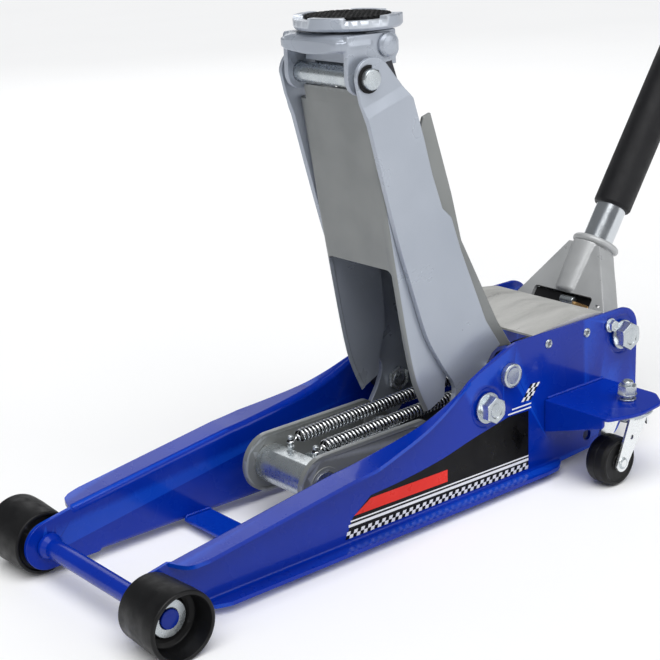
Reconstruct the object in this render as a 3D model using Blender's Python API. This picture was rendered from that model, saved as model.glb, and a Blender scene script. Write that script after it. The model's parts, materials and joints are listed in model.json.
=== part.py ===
"""Low-profile hydraulic trolley jack, three-tonne size, with its lifting arm raised.

Metres, +Z up.  The jack runs along X: front wheels at -X, handle at +X, left side at -Y.
The floor is z = 0.  Every shape is written in jack coordinates, measured from the point of
the floor under the front axle, and the empty "jack" then moves the whole to its origin, the
middle of the bottom of its bounding box.
"""

import math

import bmesh
import bpy
from mathutils import Matrix, Vector

for old in list(bpy.data.objects):
    bpy.data.objects.remove(old, do_unlink=True)

# ---------------------------------------------------------------- driving dimensions
MM = 0.001
GAP = 0.3 * MM  # between pieces that touch
SIDES = (("left", -1), ("right", 1))
FINE = 24  # steps round a wheel or a tube
COARSE = 16  # steps round a pin, a bolt or a hole
SMALL = 12

AXLE_Z = 33 * MM  # front axle, at x = 0
WHEEL_R = 33 * MM
WHEEL_IN, WHEEL_OUT = 88 * MM, 143 * MM

WEB_IN, WEB_OUT = 80 * MM, 84 * MM  # the side plates' faces, from the middle of the jack
SHEET = 4 * MM

ARM_PIVOT = (426 * MM, 101 * MM)  # A0, arm on frame
SADDLE_PIVOT = (300 * MM, 450 * MM)  # A1, saddle bracket on arm
PARALLEL = (33 * MM, 27.5 * MM)  # from each arm pivot to the levelling bars' pivot
BAR_FOOT = (ARM_PIVOT[0] + PARALLEL[0], ARM_PIVOT[1] + PARALLEL[1])  # B0
BAR_HEAD = (SADDLE_PIVOT[0] + PARALLEL[0], SADDLE_PIVOT[1] + PARALLEL[1])  # B1
CRANK_R = 70 * MM  # crank pins, below the arm's pivot
CRANK_ANGLE = math.radians(-127)

ARM_PLATE = (53 * MM, 59 * MM)  # layers out from the middle of the jack
CHANNEL_SIDE = (48.5 * MM, 52.5 * MM)
LINK_LAYER = (41 * MM, 47 * MM)
BAR_LAYER = (34 * MM, 38.5 * MM)

LINK_PIVOT = (238 * MM, 60.5 * MM)  # links on crosshead
RAM_AXIS_Z = 58 * MM
RAM_R = 17 * MM
CYLINDER = (364 * MM, 560 * MM)  # front and rear ends of the cylinder tube
CYLINDER_R = 27 * MM

SADDLE_X = 326.4 * MM
SADDLE_R = 52.4 * MM
SADDLE_TOP = 504.7 * MM
BRACKET_TOP = 490 * MM

CASTER = (574 * MM, 146 * MM)  # stem, from the front axle and from the middle
CASTER_WHEEL_X = 548 * MM
CASTER_WHEEL_R = 26.5 * MM
CASTER_PLATE_TOP = 87 * MM

YOKE_PIVOT = (640 * MM, 131 * MM)
HANDLE_LEAN = math.radians(34.5)  # from upright, towards the rear
HANDLE_LENGTH = 1000 * MM  # from the yoke's pivot to the end of the grip
TUBE_R = 17.5 * MM
GRIP_R = 19 * MM
GRIP_BEVEL = 3 * MM
ROLLER_ARM = 24 * MM  # yoke pivot to pump roller
ROLLER_LEAN = math.radians(40)  # the lean at which the roller is right under the pivot
PUMP_Z = 108 * MM

grip_rim = HANDLE_LENGTH - GRIP_BEVEL
REAR_END = (
    YOKE_PIVOT[0] + grip_rim * math.sin(HANDLE_LEAN) + GRIP_R * math.cos(HANDLE_LEAN)
)
ORIGIN_X = -(REAR_END - WHEEL_R) / 2

# ---------------------------------------------------------------- materials


def finish(name, colour, roughness, metallic):
    material = bpy.data.materials.new(name)
    material.use_nodes = True
    shader = material.node_tree.nodes["Principled BSDF"]
    shader.inputs["Base Color"].default_value = (*colour, 1)
    shader.inputs["Roughness"].default_value = roughness
    shader.inputs["Metallic"].default_value = metallic
    material.diffuse_color = (*colour, 1)
    return material


FRAME_BLUE = finish("frame_blue", (0.006, 0.026, 0.40), 0.25, 0.0)
ARM_SILVER = finish("arm_silver", (0.40, 0.44, 0.56), 0.35, 0.3)
ARM_GREY = finish("arm_grey", (0.20, 0.21, 0.22), 0.4, 0.3)
ZINC = finish("zinc_plate", (0.62, 0.66, 0.70), 0.28, 1.0)
STEEL = finish("dark_steel", (0.05, 0.055, 0.06), 0.35, 0.8)
SPRING_STEEL = finish("spring_steel", (0.60, 0.62, 0.64), 0.25, 1.0)
WHEEL_BLACK = finish("wheel_black", (0.012, 0.012, 0.013), 0.45, 0.0)
RUBBER = finish("black_rubber", (0.015, 0.015, 0.016), 0.7, 0.0)
FOAM = finish("foam_sleeve", (0.01, 0.01, 0.013), 0.5, 0.0)
COVER_GREY = finish("cover_grey", (0.55, 0.55, 0.52), 0.45, 0.2)
YOKE_SILVER = finish("yoke_silver", (0.42, 0.44, 0.46), 0.4, 0.5)
TUBE_SILVER = finish("tube_silver", (0.55, 0.57, 0.60), 0.25, 0.9)
BRASS = finish("brass", (0.55, 0.36, 0.13), 0.3, 1.0)

# ---------------------------------------------------------------- joints' empties


def joint_empty(name, parent, point, rotation=(0, 0, 0)):
    """An empty on a joint's axis, at a point in jack coordinates."""
    empty = bpy.data.objects.new(name, None)
    bpy.context.collection.objects.link(empty)
    empty["point"] = tuple(point)
    empty.parent = parent
    if parent is None:
        empty.location = (ORIGIN_X, 0, 0)
    else:
        empty.location = Vector(point) - Vector(parent["point"])
    empty.rotation_euler = rotation
    return empty


def on_mid_plane(point):
    return (point[0], 0, point[1])


JACK = joint_empty("jack", None, (0, 0, 0))
ARM = joint_empty("arm_lift", JACK, on_mid_plane(ARM_PIVOT))
BARS = joint_empty("bar_swing", JACK, on_mid_plane(BAR_FOOT))
BRACKET = joint_empty("bracket_level", ARM, on_mid_plane(SADDLE_PIVOT))
SADDLE = joint_empty("saddle_swivel", BRACKET, (SADDLE_X, 0, BRACKET_TOP))
RAM = joint_empty("ram_slide", JACK, (LINK_PIVOT[0], 0, RAM_AXIS_Z))
LINKS = joint_empty("link_tilt", RAM, on_mid_plane(LINK_PIVOT))
PLUNGER = joint_empty("plunger_slide", JACK, (YOKE_PIVOT[0], 0, PUMP_Z))
VALVE_AXIS = (622 * MM, 0, 72 * MM)
VALVE = joint_empty("valve_turn", JACK, VALVE_AXIS)
YOKE = joint_empty("yoke_tilt", JACK, on_mid_plane(YOKE_PIVOT), (0, HANDLE_LEAN, 0))

# ---------------------------------------------------------------- outlines


def arc(centre, radius, start, end, steps):
    """Points on an arc, angles in degrees, both ends included."""
    angles = [math.radians(start + (end - start) * i / steps) for i in range(steps + 1)]
    return [
        (centre[0] + radius * math.cos(a), centre[1] + radius * math.sin(a)) for a in angles
    ]


def circle(centre, radius, steps=COARSE):
    return arc(centre, radius, 0, 360, steps)[:-1]


def hexagon(centre, radius):
    return arc(centre, radius, 30, 390, 6)[:-1]


def mm(points):
    return [tuple(value * MM for value in point) for point in points]


def rounded(corners, steps=4):
    """A closed outline from corners (a, b) or (a, b, radius), whose rounds become arcs."""
    corners = [(*corner, 0)[:3] for corner in corners]
    outline = []
    for i, (a, b, radius) in enumerate(corners):
        here = Vector((a, b))
        if not radius:
            outline.append(tuple(here))
            continue
        before = (Vector(corners[i - 1][:2]) - here).normalized()
        after = (Vector(corners[(i + 1) % len(corners)][:2]) - here).normalized()
        half = before.angle(after) / 2
        reach = radius / math.tan(half)
        centre = here + (before + after).normalized() * radius / math.sin(half)
        first, last = here + before * reach - centre, here + after * reach - centre
        turn = first.angle_signed(last)
        for step in range(steps + 1):
            outline.append(tuple(centre + Matrix.Rotation(-turn * step / steps, 2) @ first))
    return outline


def smooth_line(points, steps):
    """A Catmull-Rom line through points, with `steps` parts to each stretch."""
    ends = [points[0], *points, points[-1]]
    line = []
    for i in range(len(points) - 1):
        p = [Vector(ends[i + k]) for k in range(4)]
        for step in range(steps):
            t = step / steps
            line.append(
                tuple(
                    0.5
                    * (
                        2 * p[1]
                        + (p[2] - p[0]) * t
                        + (2 * p[0] - 5 * p[1] + 4 * p[2] - p[3]) * t**2
                        + (3 * p[1] - p[0] - 3 * p[2] + p[3]) * t**3
                    )
                )
            )
    return [*line, tuple(points[-1])]


def height_on(line, x):
    """The height of a line of (x, z) points at x."""
    for (x0, z0), (x1, z1) in zip(line, line[1:]):
        if x0 <= x <= x1:
            return z0 + (z1 - z0) * (x - x0) / (x1 - x0)
    return line[-1][1]


# ---------------------------------------------------------------- solids as bmeshes


def placed(axis, a, b, along):
    """A point from its two coordinates across an axis and the one along it."""
    return {"X": (along, a, b), "Y": (a, along, b), "Z": (a, b, along)}[axis]


def loft(sections):
    """A closed solid through sections, each a loop of the same number of points."""
    bm = bmesh.new()
    loops = [[bm.verts.new(point) for point in section] for section in sections]
    count = len(loops[0])
    for low, high in zip(loops, loops[1:]):
        for i in range(count):
            bm.faces.new((low[i], low[(i + 1) % count], high[(i + 1) % count], high[i]))
    bm.faces.new(loops[0])
    bm.faces.new(loops[-1])
    bmesh.ops.recalc_face_normals(bm, faces=bm.faces)
    return bm


def prism(outline, low, high, axis="Y"):
    """The outline, drawn across an axis, as a solid from low to high along it."""
    return loft([[placed(axis, a, b, along) for a, b in outline] for along in (low, high)])


def block(low, high):
    outline = [(low[0], low[1]), (high[0], low[1]), (high[0], high[1]), (low[0], high[1])]
    return prism(outline, low[2], high[2], "Z")


def turned(profile, centre, axis="Y", steps=COARSE, ring=False):
    """A profile of (radius, place along the axis) points turned round the axis.

    A ring's profile is a closed loop; any other starts and ends on the axis.
    """
    bm = bmesh.new()
    start = [bm.verts.new(placed(axis, centre[0] + r, centre[1], along)) for r, along in profile]
    edges = [bm.edges.new(pair) for pair in zip(start, start[1:])]
    if ring:
        edges.append(bm.edges.new((start[-1], start[0])))
    bmesh.ops.spin(
        bm,
        geom=start + edges,
        cent=placed(axis, centre[0], centre[1], 0),
        axis=placed(axis, 0, 0, 1),
        angle=math.tau,
        steps=steps,
    )
    bmesh.ops.remove_doubles(bm, verts=bm.verts, dist=1e-6)
    bmesh.ops.recalc_face_normals(bm, faces=bm.faces)
    return bm


def rod(centre, radius, low, high, axis="Y", steps=COARSE):
    return prism(circle(centre, radius, steps), low, high, axis)


def mirrored(low, high, side):
    """A layer between two distances from the middle of the jack, on one side of it."""
    return (low * side, high * side) if side > 0 else (high * side, low * side)


def together(*parts):
    """Several separate solids in one bmesh."""
    whole = bmesh.new()
    for part in parts:
        mesh = bpy.data.meshes.new("part")
        part.to_mesh(mesh)
        part.free()
        whole.from_mesh(mesh)
        bpy.data.meshes.remove(mesh)
    return whole


# ---------------------------------------------------------------- objects


def solid(name, bm, empty, material):
    """A named sub-part whose origin is its empty's point."""
    bm.transform(Matrix.Translation(-Vector(empty["point"])))
    mesh = bpy.data.meshes.new(name)
    bm.to_mesh(mesh)
    bm.free()
    mesh.shade_smooth()
    mesh.set_sharp_from_angle(angle=math.radians(35))
    if material:
        mesh.materials.append(material)
    made = bpy.data.objects.new(name, mesh)
    bpy.context.collection.objects.link(made)
    made.parent = empty
    return made


def shape(made, operation, bm):
    """Joins a solid to a sub-part, or cuts it away, with a hidden helper object."""
    helper = solid(f"{made.name}_{operation.lower()}", bm, made.parent, None)
    helper.hide_render = True
    helper.display_type = "WIRE"
    modifier = made.modifiers.new(operation.capitalize(), "BOOLEAN")
    modifier.operation = operation
    modifier.object = helper
    return helper


def join(made, *parts):
    for part in parts:
        shape(made, "UNION", part)


def cut(made, *parts):
    shape(made, "DIFFERENCE", together(*parts))


# ---------------------------------------------------------------- frame

TOP_EDGE = [
    *mm([(30, 64), (120, 77)]),
    *smooth_line(
        mm([(217, 91), (251, 94.5), (316, 104.7), (351, 114), (385, 127.5), (422, 144), (456, 158)]),
        2,
    ),
    *mm([(470, 161)]),
]
AXLE_HOLE_R = 9.8 * MM
PIVOT_HOLE_R = 9.3 * MM
PIN_HOLE_R = 8.3 * MM
YOKE_HOLE_R = 12.3 * MM
FRAME_BOLT = (619 * MM, 146.2 * MM)
FRAME_BOLT_HOLE_R = 4.3 * MM
DIMPLE_R, DIMPLE_DEPTH = 21.5 * MM, 1.2 * MM
AXLE = (0, AXLE_Z)


def flange(stations, heights, side):
    """An outward flange: stations of (x, outer edge), with its top at heights(x)."""
    sections = []
    for x, outer in stations:
        top = heights(x)
        inner = (WEB_IN + 1 * MM) * side
        outer *= side
        sections.append(
            [(x, inner, top), (x, outer, top), (x, outer, top - SHEET), (x, inner, top - SHEET)]
        )
    return loft(sections)


def side_plate(label, side):
    nose = arc(AXLE, 24.5 * MM, 270, 100, 8)
    rear = mm([(666, 161, 26), (666, 58, 12), (630, 13, 24), (540, 8)])
    web = prism(rounded([*nose, *TOP_EDGE, *rear]), *mirrored(WEB_IN, WEB_OUT, side))
    plate = solid(f"side_plate_{label}", web, JACK, FRAME_BLUE)
    top_stations = mm(
        [(30, 96), (33, 103), (40, 108), (52, 110.5), (120, 111), (217, 112), (251, 112)]
    )
    taper = [x for x, _ in TOP_EDGE if 255 * MM < x < 390 * MM]
    for x in taper:
        top_stations.append((x, (112 - 26 * (x / MM - 251) / 140) * MM))
    bottom_stations = mm([(58, 86), (66, 96), (80, 101), (500, 101), (520, 99), (534, 90)])
    join(
        plate,
        flange(top_stations, lambda x: height_on(TOP_EDGE, x), side),
        flange(bottom_stations, lambda x: 12.4 * MM, side),
    )
    through = mirrored(WEB_IN - 5 * MM, WEB_OUT + 5 * MM, side)
    dimple = mirrored(WEB_OUT - DIMPLE_DEPTH, WEB_OUT + 5 * MM, side)
    cut(plate, rod(ARM_PIVOT, DIMPLE_R, *dimple, steps=FINE))
    cut(
        plate,
        rod(AXLE, AXLE_HOLE_R, *through),
        rod(ARM_PIVOT, PIVOT_HOLE_R, *through),
        rod(BAR_FOOT, PIN_HOLE_R, *through),
        rod(YOKE_PIVOT, YOKE_HOLE_R, *through),
        rod(FRAME_BOLT, FRAME_BOLT_HOLE_R, *through, steps=SMALL),
    )


AXLE_R = 9.5 * MM
AXLE_END = 122.5 * MM


def front_axle():
    flare = 13 * MM
    half = [
        (AXLE_R, 72 * MM),
        (flare, 77 * MM),
        (flare, WEB_IN - GAP),
        (AXLE_R, WEB_IN - GAP),
        (AXLE_R, AXLE_END - 1 * MM),
        (AXLE_R - 1 * MM, AXLE_END),
        (0, AXLE_END),
    ]
    other = [(r, -along) for r, along in reversed(half)]
    solid("front_axle", turned([*other, *half], AXLE), JACK, FRAME_BLUE)


def axle_ring(label, side):
    """Open retaining ring in the axle's groove, its gap at the upper front."""
    opening = 30
    outline = [
        *arc(AXLE, 17.5 * MM, 135 + opening, 495 - opening, COARSE),
        *arc(AXLE, 9.8 * MM, 495 - opening, 135 + opening, COARSE),
    ]
    layer = mirrored(118.5 * MM, 120.5 * MM, side)
    solid(f"axle_ring_{label}", prism(outline, *layer), JACK, ZINC)


def cross_plates():
    span = WEB_IN - GAP
    front = block((154 * MM, -span, 8.4 * MM), (187.5 * MM, span, 12.4 * MM))
    solid("front_cross_strap", front, JACK, FRAME_BLUE)
    rear = block((545 * MM, -span, 14 * MM), (626 * MM, span, 18 * MM))
    solid("rear_cross_plate", rear, JACK, FRAME_BLUE)


def caster_bracket(label, side):
    """Shelf on the side plate's outer face, with a lip down its front edge."""
    inner = WEB_OUT / MM + 0.3
    plan = [(513, inner), (513, 170, 6), (550, 183, 60), (592, 178, 18), (611, 156, 14)]
    plan = rounded([*mm(plan), (611 * MM, inner * MM)])
    plan = [(x, y * side) for x, y in plan]
    shelf = prism(plan, CASTER_PLATE_TOP - SHEET, CASTER_PLATE_TOP, "Z")
    bracket = solid(f"caster_bracket_{label}", shelf, JACK, FRAME_BLUE)
    lip = mm([(inner, 86), (inner, 50), (164, 74), (164, 86)])
    lip = [(y * side, z) for y, z in lip]
    join(bracket, prism(lip, 513 * MM, 517 * MM, "X"))
    stem = (CASTER[0], CASTER[1] * side)
    cut(bracket, rod(stem, 6.3 * MM, CASTER_PLATE_TOP - 9 * MM, CASTER_PLATE_TOP + 9 * MM, "Z"))


def caster_bolt(label, side):
    """Stem bolt of a caster: head under the fork's top, nut standing on the shelf."""
    stem = (CASTER[0], CASTER[1] * side)
    shelf = CASTER_PLATE_TOP + GAP
    profile = [
        (0, 63 * MM),
        (9 * MM, 63 * MM),
        (9 * MM, 69.5 * MM),
        (6 * MM, 69.5 * MM),
        (6 * MM, shelf),
        (9.5 * MM, shelf),
        (9.5 * MM, 90 * MM),
        (6.5 * MM, 90 * MM),
        (6.5 * MM, 107 * MM),
        (0, 109 * MM),
    ]
    bolt = solid(f"caster_bolt_{label}", turned(profile, stem, "Z"), JACK, ZINC)
    join(bolt, prism(hexagon(stem, 10.5 * MM), 94 * MM, 104 * MM, "Z"))


COVER_SHEET = 2.5 * MM


def cover_plate():
    """Folded sheet over the hydraulic unit, with skirts inside the side plates."""
    span = WEB_IN - GAP
    top = mm([(500, 160.5), (578, 166.5), (611, 162)])
    outline = [*top, *[(x, z - COVER_SHEET) for x, z in reversed(top)]]
    cover = solid("cover_plate", prism(outline, -span, span), JACK, COVER_GREY)
    skirt = mm([(503, 160), (578, 165), (608, 161), (628, 155), (628, 138), (503, 138)])
    for _, side in SIDES:
        join(cover, prism(skirt, *mirrored(span - COVER_SHEET, span, side)))
    reach = 90 * MM
    cut(cover, rod(FRAME_BOLT, FRAME_BOLT_HOLE_R, -reach, reach, steps=SMALL))


def hex_bolt(name, centre, side, head, washer_r, shank_r, inner_end, nut=None):
    """Bolt through a side plate: head is (corner radius, outer face), nut (radius, low, high)."""
    seat = WEB_OUT + GAP
    washer = seat + 2.2 * MM
    profile = [
        (0, inner_end),
        (shank_r, inner_end),
        (shank_r, seat),
        (washer_r, seat),
        (washer_r, washer),
        (head[0] * 0.5, washer),
        (head[0] * 0.5, head[1] - 1 * MM),
        (0, head[1] - 1 * MM),
    ]
    profile = [(r, along * side) for r, along in profile]
    bolt = solid(name, turned(profile, centre), JACK, ZINC)
    join(bolt, prism(hexagon(centre, head[0]), *mirrored(washer - 0.5 * MM, head[1], side)))
    if nut:
        join(bolt, prism(hexagon(centre, nut[0]), *mirrored(nut[1], nut[2], side)))


def frame_bolts(label, side):
    hex_bolt(
        f"arm_pivot_bolt_{label}",
        ARM_PIVOT,
        side,
        head=(14.5 * MM, 98 * MM),
        washer_r=16.5 * MM,
        shank_r=9 * MM,
        inner_end=46.5 * MM + 1 * MM,
        nut=(14 * MM, 48 * MM, ARM_PLATE[0] - GAP),
    )
    hex_bolt(
        f"yoke_bolt_{label}",
        YOKE_PIVOT,
        side,
        head=(16 * MM, 98 * MM),
        washer_r=16.5 * MM,
        shank_r=12 * MM,
        inner_end=58 * MM,
    )
    hex_bolt(
        f"frame_bolt_{label}",
        FRAME_BOLT,
        side,
        head=(6.8 * MM, 92 * MM),
        washer_r=8 * MM,
        shank_r=4 * MM,
        inner_end=73 * MM,
    )
    bush = [
        (PIVOT_HOLE_R, ARM_PLATE[1] + GAP),
        (17 * MM, ARM_PLATE[1] + GAP),
        (17 * MM, WEB_IN - GAP),
        (PIVOT_HOLE_R, WEB_IN - GAP),
    ]
    bush = [(r, along * side) for r, along in bush]
    solid(f"pivot_bush_{label}", turned(bush, ARM_PIVOT, ring=True), JACK, STEEL)


def levelling_pin():
    """Cross pin of the levelling bars, with a round head outside each side plate."""
    half = [
        (8 * MM, WEB_OUT + GAP),
        (13 * MM, WEB_OUT + GAP),
        (13 * MM, 90.5 * MM),
        (0, 90.5 * MM),
    ]
    other = [(r, -along) for r, along in reversed(half)]
    solid("levelling_pin", turned([*other, *half], BAR_FOOT), JACK, ZINC)


# ---------------------------------------------------------------- hydraulic unit
PUMP_FRONT, PUMP_REAR = 562 * MM, 616 * MM
PLUNGER_R = 9 * MM
ROLLER_R = 8 * MM


def roller_place(lean):
    swing = lean - ROLLER_LEAN
    return (
        YOKE_PIVOT[0] - ROLLER_ARM * math.sin(swing),
        YOKE_PIVOT[1] - ROLLER_ARM * math.cos(swing),
    )


def hydraulic_unit():
    body = rounded(
        mm([(561, 18.4, 4), (561, 88, 6), (572, 98, 6), (614, 98, 6), (620, 92, 4), (620, 18.4, 4)]),
        2,
    )
    unit = solid("hydraulic_block", prism(body, -42 * MM, 42 * MM), JACK, STEEL)
    pump = (0, PUMP_Z)
    join(unit, rod(pump, 15 * MM, PUMP_FRONT, PUMP_REAR, "X"))
    bore = rod(pump, PLUNGER_R + GAP, 576 * MM, PUMP_REAR + 5 * MM, "X")
    socket = rod((0, VALVE_AXIS[2]), 6.3 * MM, 604 * MM, 625 * MM, "X", SMALL)
    cut(unit, bore, socket)

    ram = (0, RAM_AXIS_Z)
    bore_r = RAM_R + GAP
    rear = CYLINDER[1]
    tube = [
        (bore_r, CYLINDER[0]),
        (CYLINDER_R, CYLINDER[0]),
        (CYLINDER_R, rear),
        (0, rear),
        (0, rear - 8 * MM),
        (bore_r, rear - 8 * MM),
    ]
    tube = turned(tube, ram, "X", FINE, ring=True)
    solid("ram_cylinder", tube, JACK, STEEL)
    gland = [
        (bore_r, 354 * MM),
        (24 * MM, 354 * MM),
        (CYLINDER_R + 2 * MM, 357 * MM),
        (CYLINDER_R + 2 * MM, CYLINDER[0] - GAP),
        (bore_r, CYLINDER[0] - GAP),
    ]
    solid("gland_nut", turned(gland, ram, "X", FINE, ring=True), JACK, ZINC)

    tip = roller_place(HANDLE_LEAN)[0] - ROLLER_R - 1 * MM
    plunger = [(0, 598 * MM), (PLUNGER_R, 598 * MM), (PLUNGER_R, tip - 2 * MM), (6 * MM, tip), (0, tip)]
    solid("pump_plunger", turned(plunger, pump, "X"), PLUNGER, ZINC)

    valve = [
        (0, 606 * MM),
        (6 * MM, 606 * MM),
        (6 * MM, 622 * MM),
        (8.5 * MM, 622 * MM),
        (8.5 * MM, 634 * MM),
        (5 * MM, 634 * MM),
        (5 * MM, 648 * MM),
        (0, 648 * MM),
    ]
    spindle = turned(valve, (0, VALVE_AXIS[2]), "X")
    solid("release_valve", spindle, VALVE, BRASS)


# ---------------------------------------------------------------- ram, links and springs
SPRING_Y, SPRING_R = 20 * MM, 7.25 * MM
SPRING_FRONT, SPRING_REAR = 256 * MM, 477.7 * MM
SPRING_FRONT_Z, SPRING_REAR_Z = 87.5 * MM, 95 * MM
EYE_CENTRE = (383.9 * MM, 36.7 * MM)
EYE_R = 19 * MM


def ram_and_crosshead():
    radius, flat = 20 * MM, 18.5 * MM
    open_angle = math.degrees(math.acos(flat / radius))
    bar = arc(LINK_PIVOT, radius, 90 + open_angle, 450 - open_angle, COARSE)
    reach = LINK_LAYER[0] - GAP
    head = solid("crosshead", prism(bar, -reach, reach), RAM, ZINC)
    join(head, rod(LINK_PIVOT, 14 * MM, -LINK_LAYER[1], LINK_LAYER[1]))
    hooks = [
        block(
            (246 * MM, side * SPRING_Y - 2 * MM, 78 * MM),
            (252 * MM, side * SPRING_Y + 2 * MM, 92 * MM),
        )
        for _, side in SIDES
    ]
    join(head, together(*hooks))
    rear_face = LINK_PIVOT[0] + radius + GAP
    rod_solid = rod((0, RAM_AXIS_Z), RAM_R, rear_face, 450 * MM, "X", FINE)
    solid("ram_rod", rod_solid, RAM, ZINC)


def link(label, side):
    """Tall plate from the crosshead to a crank pin, whose eye leaves the pin room."""
    front = [(207, 29.5, 30.9), (207, 91.5, 30.9)]
    rear = [(372, 93, 16), (410, 62, 16), (410, 10.7, 25.8), (358, 10.7, 20), (300, 29.5, 40)]
    outline = rounded(mm([*front, *rear]), 6)
    plate = prism(outline, *mirrored(*LINK_LAYER, side))
    plate = solid(f"link_{label}", plate, LINKS, ARM_GREY)
    through = mirrored(LINK_LAYER[0] - 5 * MM, LINK_LAYER[1] + 5 * MM, side)
    cut(plate, rod(LINK_PIVOT, 14.3 * MM, *through), rod(EYE_CENTRE, EYE_R, *through))


def springs():
    anchor = block((478 * MM, -30 * MM, 85.4 * MM), (484 * MM, 30 * MM, 106 * MM))
    solid("spring_anchor", anchor, JACK, STEEL)
    for label, side in SIDES:
        sections = []
        for x, z in ((SPRING_FRONT, SPRING_FRONT_Z), (SPRING_REAR, SPRING_REAR_Z)):
            ring = circle((side * SPRING_Y, z), SPRING_R, 12)
            sections.append([(x, y, height) for y, height in ring])
        solid(f"return_spring_{label}", loft(sections), JACK, SPRING_STEEL)


# ---------------------------------------------------------------- lifting arm
CRANK_PIN = (
    ARM_PIVOT[0] + CRANK_R * math.cos(CRANK_ANGLE),
    ARM_PIVOT[1] + CRANK_R * math.sin(CRANK_ANGLE),
)
CRANK_PIN_R = 9 * MM
SADDLE_PIN_R = 10 * MM


def arm_plate(label, side):
    """Outer plate of the arm, its foot cut back behind the pivot to pass the levelling pin."""
    top = mm([(280.5, 469, 18), (317, 469, 18), (345.5, 436, 7)])
    rear = mm([(355, 426), (367.7, 386), (378, 349), (391, 313), (403, 302), (416, 265.5)])
    heel = mm([(451, 184), (472, 153), (459, 146)])
    pivot_lobe = arc(ARM_PIVOT, 30 * MM, 54, -60, 8)
    crank_lobe = arc(CRANK_PIN, 17 * MM, -40, -220, 8)
    front = mm(
        [(398, 98), (405, 121.6), (386, 152), (367, 185), (349, 236), (332, 287), (316, 343), (299, 406)]
    )
    outline = [*top, *rear, *heel, *pivot_lobe, *crank_lobe, *front, (290 * MM, 428 * MM)]
    plate = prism(rounded(outline), *mirrored(*ARM_PLATE, side))
    plate = solid(f"arm_plate_{label}", plate, ARM, ARM_SILVER)
    through = mirrored(ARM_PLATE[0] - 5 * MM, ARM_PLATE[1] + 5 * MM, side)
    cut(
        plate,
        rod(ARM_PIVOT, PIVOT_HOLE_R, *through),
        rod(SADDLE_PIVOT, SADDLE_PIN_R + GAP, *through),
        rod(CRANK_PIN, CRANK_PIN_R + GAP, *through),
    )
    head = 63 * MM
    pin = [
        (0, 40.5 * MM),
        (CRANK_PIN_R, 40.5 * MM),
        (CRANK_PIN_R, ARM_PLATE[1] + GAP),
        (13 * MM, ARM_PLATE[1] + GAP),
        (13 * MM, head),
        (0, head),
    ]
    pin = turned([(r, along * side) for r, along in pin], CRANK_PIN)
    solid(f"crank_pin_{label}", pin, ARM, ZINC)


def arm_channels():
    span = CHANNEL_SIDE[1]
    front_edge = mm([(303, 430), (330, 258.5), (350.5, 150.5), (370, 102)])
    rear_edge = mm([(398, 112), (384, 160), (362, 258), (342, 395), (316, 404), (312, 430)])
    web = mm([(304.2, 423), (330, 258.5), (334.5, 258.5), (308.7, 423)])
    channel = solid("arm_front_channel", prism(web, -span, span), ARM, ARM_GREY)
    for _, side in SIDES:
        join(channel, prism([*front_edge, *rear_edge], *mirrored(*CHANNEL_SIDE, side)))

    outer = mm([(383, 408), (396, 367), (410, 324), (423, 274), (474.7, 177), (496, 146)])
    inner = mm([(468, 148), (446, 172), (398, 262), (385, 320), (366, 385), (373, 405)])
    back_face = outer[1:]
    back_inner = [(x - 4.2 * MM, z - 1.5 * MM) for x, z in reversed(back_face[1:-1])]
    back_ends = ((492 * MM, 144.5 * MM), (391.6 * MM, 367 * MM))
    web = [*back_face, back_ends[0], *back_inner, back_ends[1]]
    channel = solid("arm_back_channel", prism(web, -span, span), ARM, STEEL)
    for _, side in SIDES:
        join(channel, prism([*outer, *inner], *mirrored(*CHANNEL_SIDE, side)))


def saddle_pin():
    end = 64 * MM
    bevel = 1.2 * MM
    profile = [
        (0, -end),
        (SADDLE_PIN_R - bevel, -end),
        (SADDLE_PIN_R, bevel - end),
        (SADDLE_PIN_R, end - bevel),
        (SADDLE_PIN_R - bevel, end),
        (0, end),
    ]
    solid("saddle_pivot_pin", turned(profile, SADDLE_PIVOT), ARM, ZINC)


# ---------------------------------------------------------------- levelling bars and saddle
BAR_BOLT_R = 6 * MM


def levelling_bar(label, side):
    """Flat bar with an eye at each end, drawn along the line from foot to head."""
    run = Vector(BAR_HEAD) - Vector(BAR_FOOT)
    along = math.degrees(math.atan2(run.y, run.x))
    half_width = 7 * MM
    foot_r, head_r = 13 * MM, 11 * MM
    foot_open = math.degrees(math.asin(half_width / foot_r))
    head_open = math.degrees(math.asin(half_width / head_r))
    outline = [
        *arc(BAR_FOOT, foot_r, along + foot_open, along + 360 - foot_open, 14),
        *arc(BAR_HEAD, head_r, along - 180 + head_open, along + 180 - head_open, 14),
    ]
    bar = prism(outline, *mirrored(*BAR_LAYER, side))
    bar = solid(f"levelling_bar_{label}", bar, BARS, STEEL)
    through = mirrored(BAR_LAYER[0] - 5 * MM, BAR_LAYER[1] + 5 * MM, side)
    cut(bar, rod(BAR_FOOT, PIN_HOLE_R, *through), rod(BAR_HEAD, BAR_BOLT_R + GAP, *through))


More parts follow.
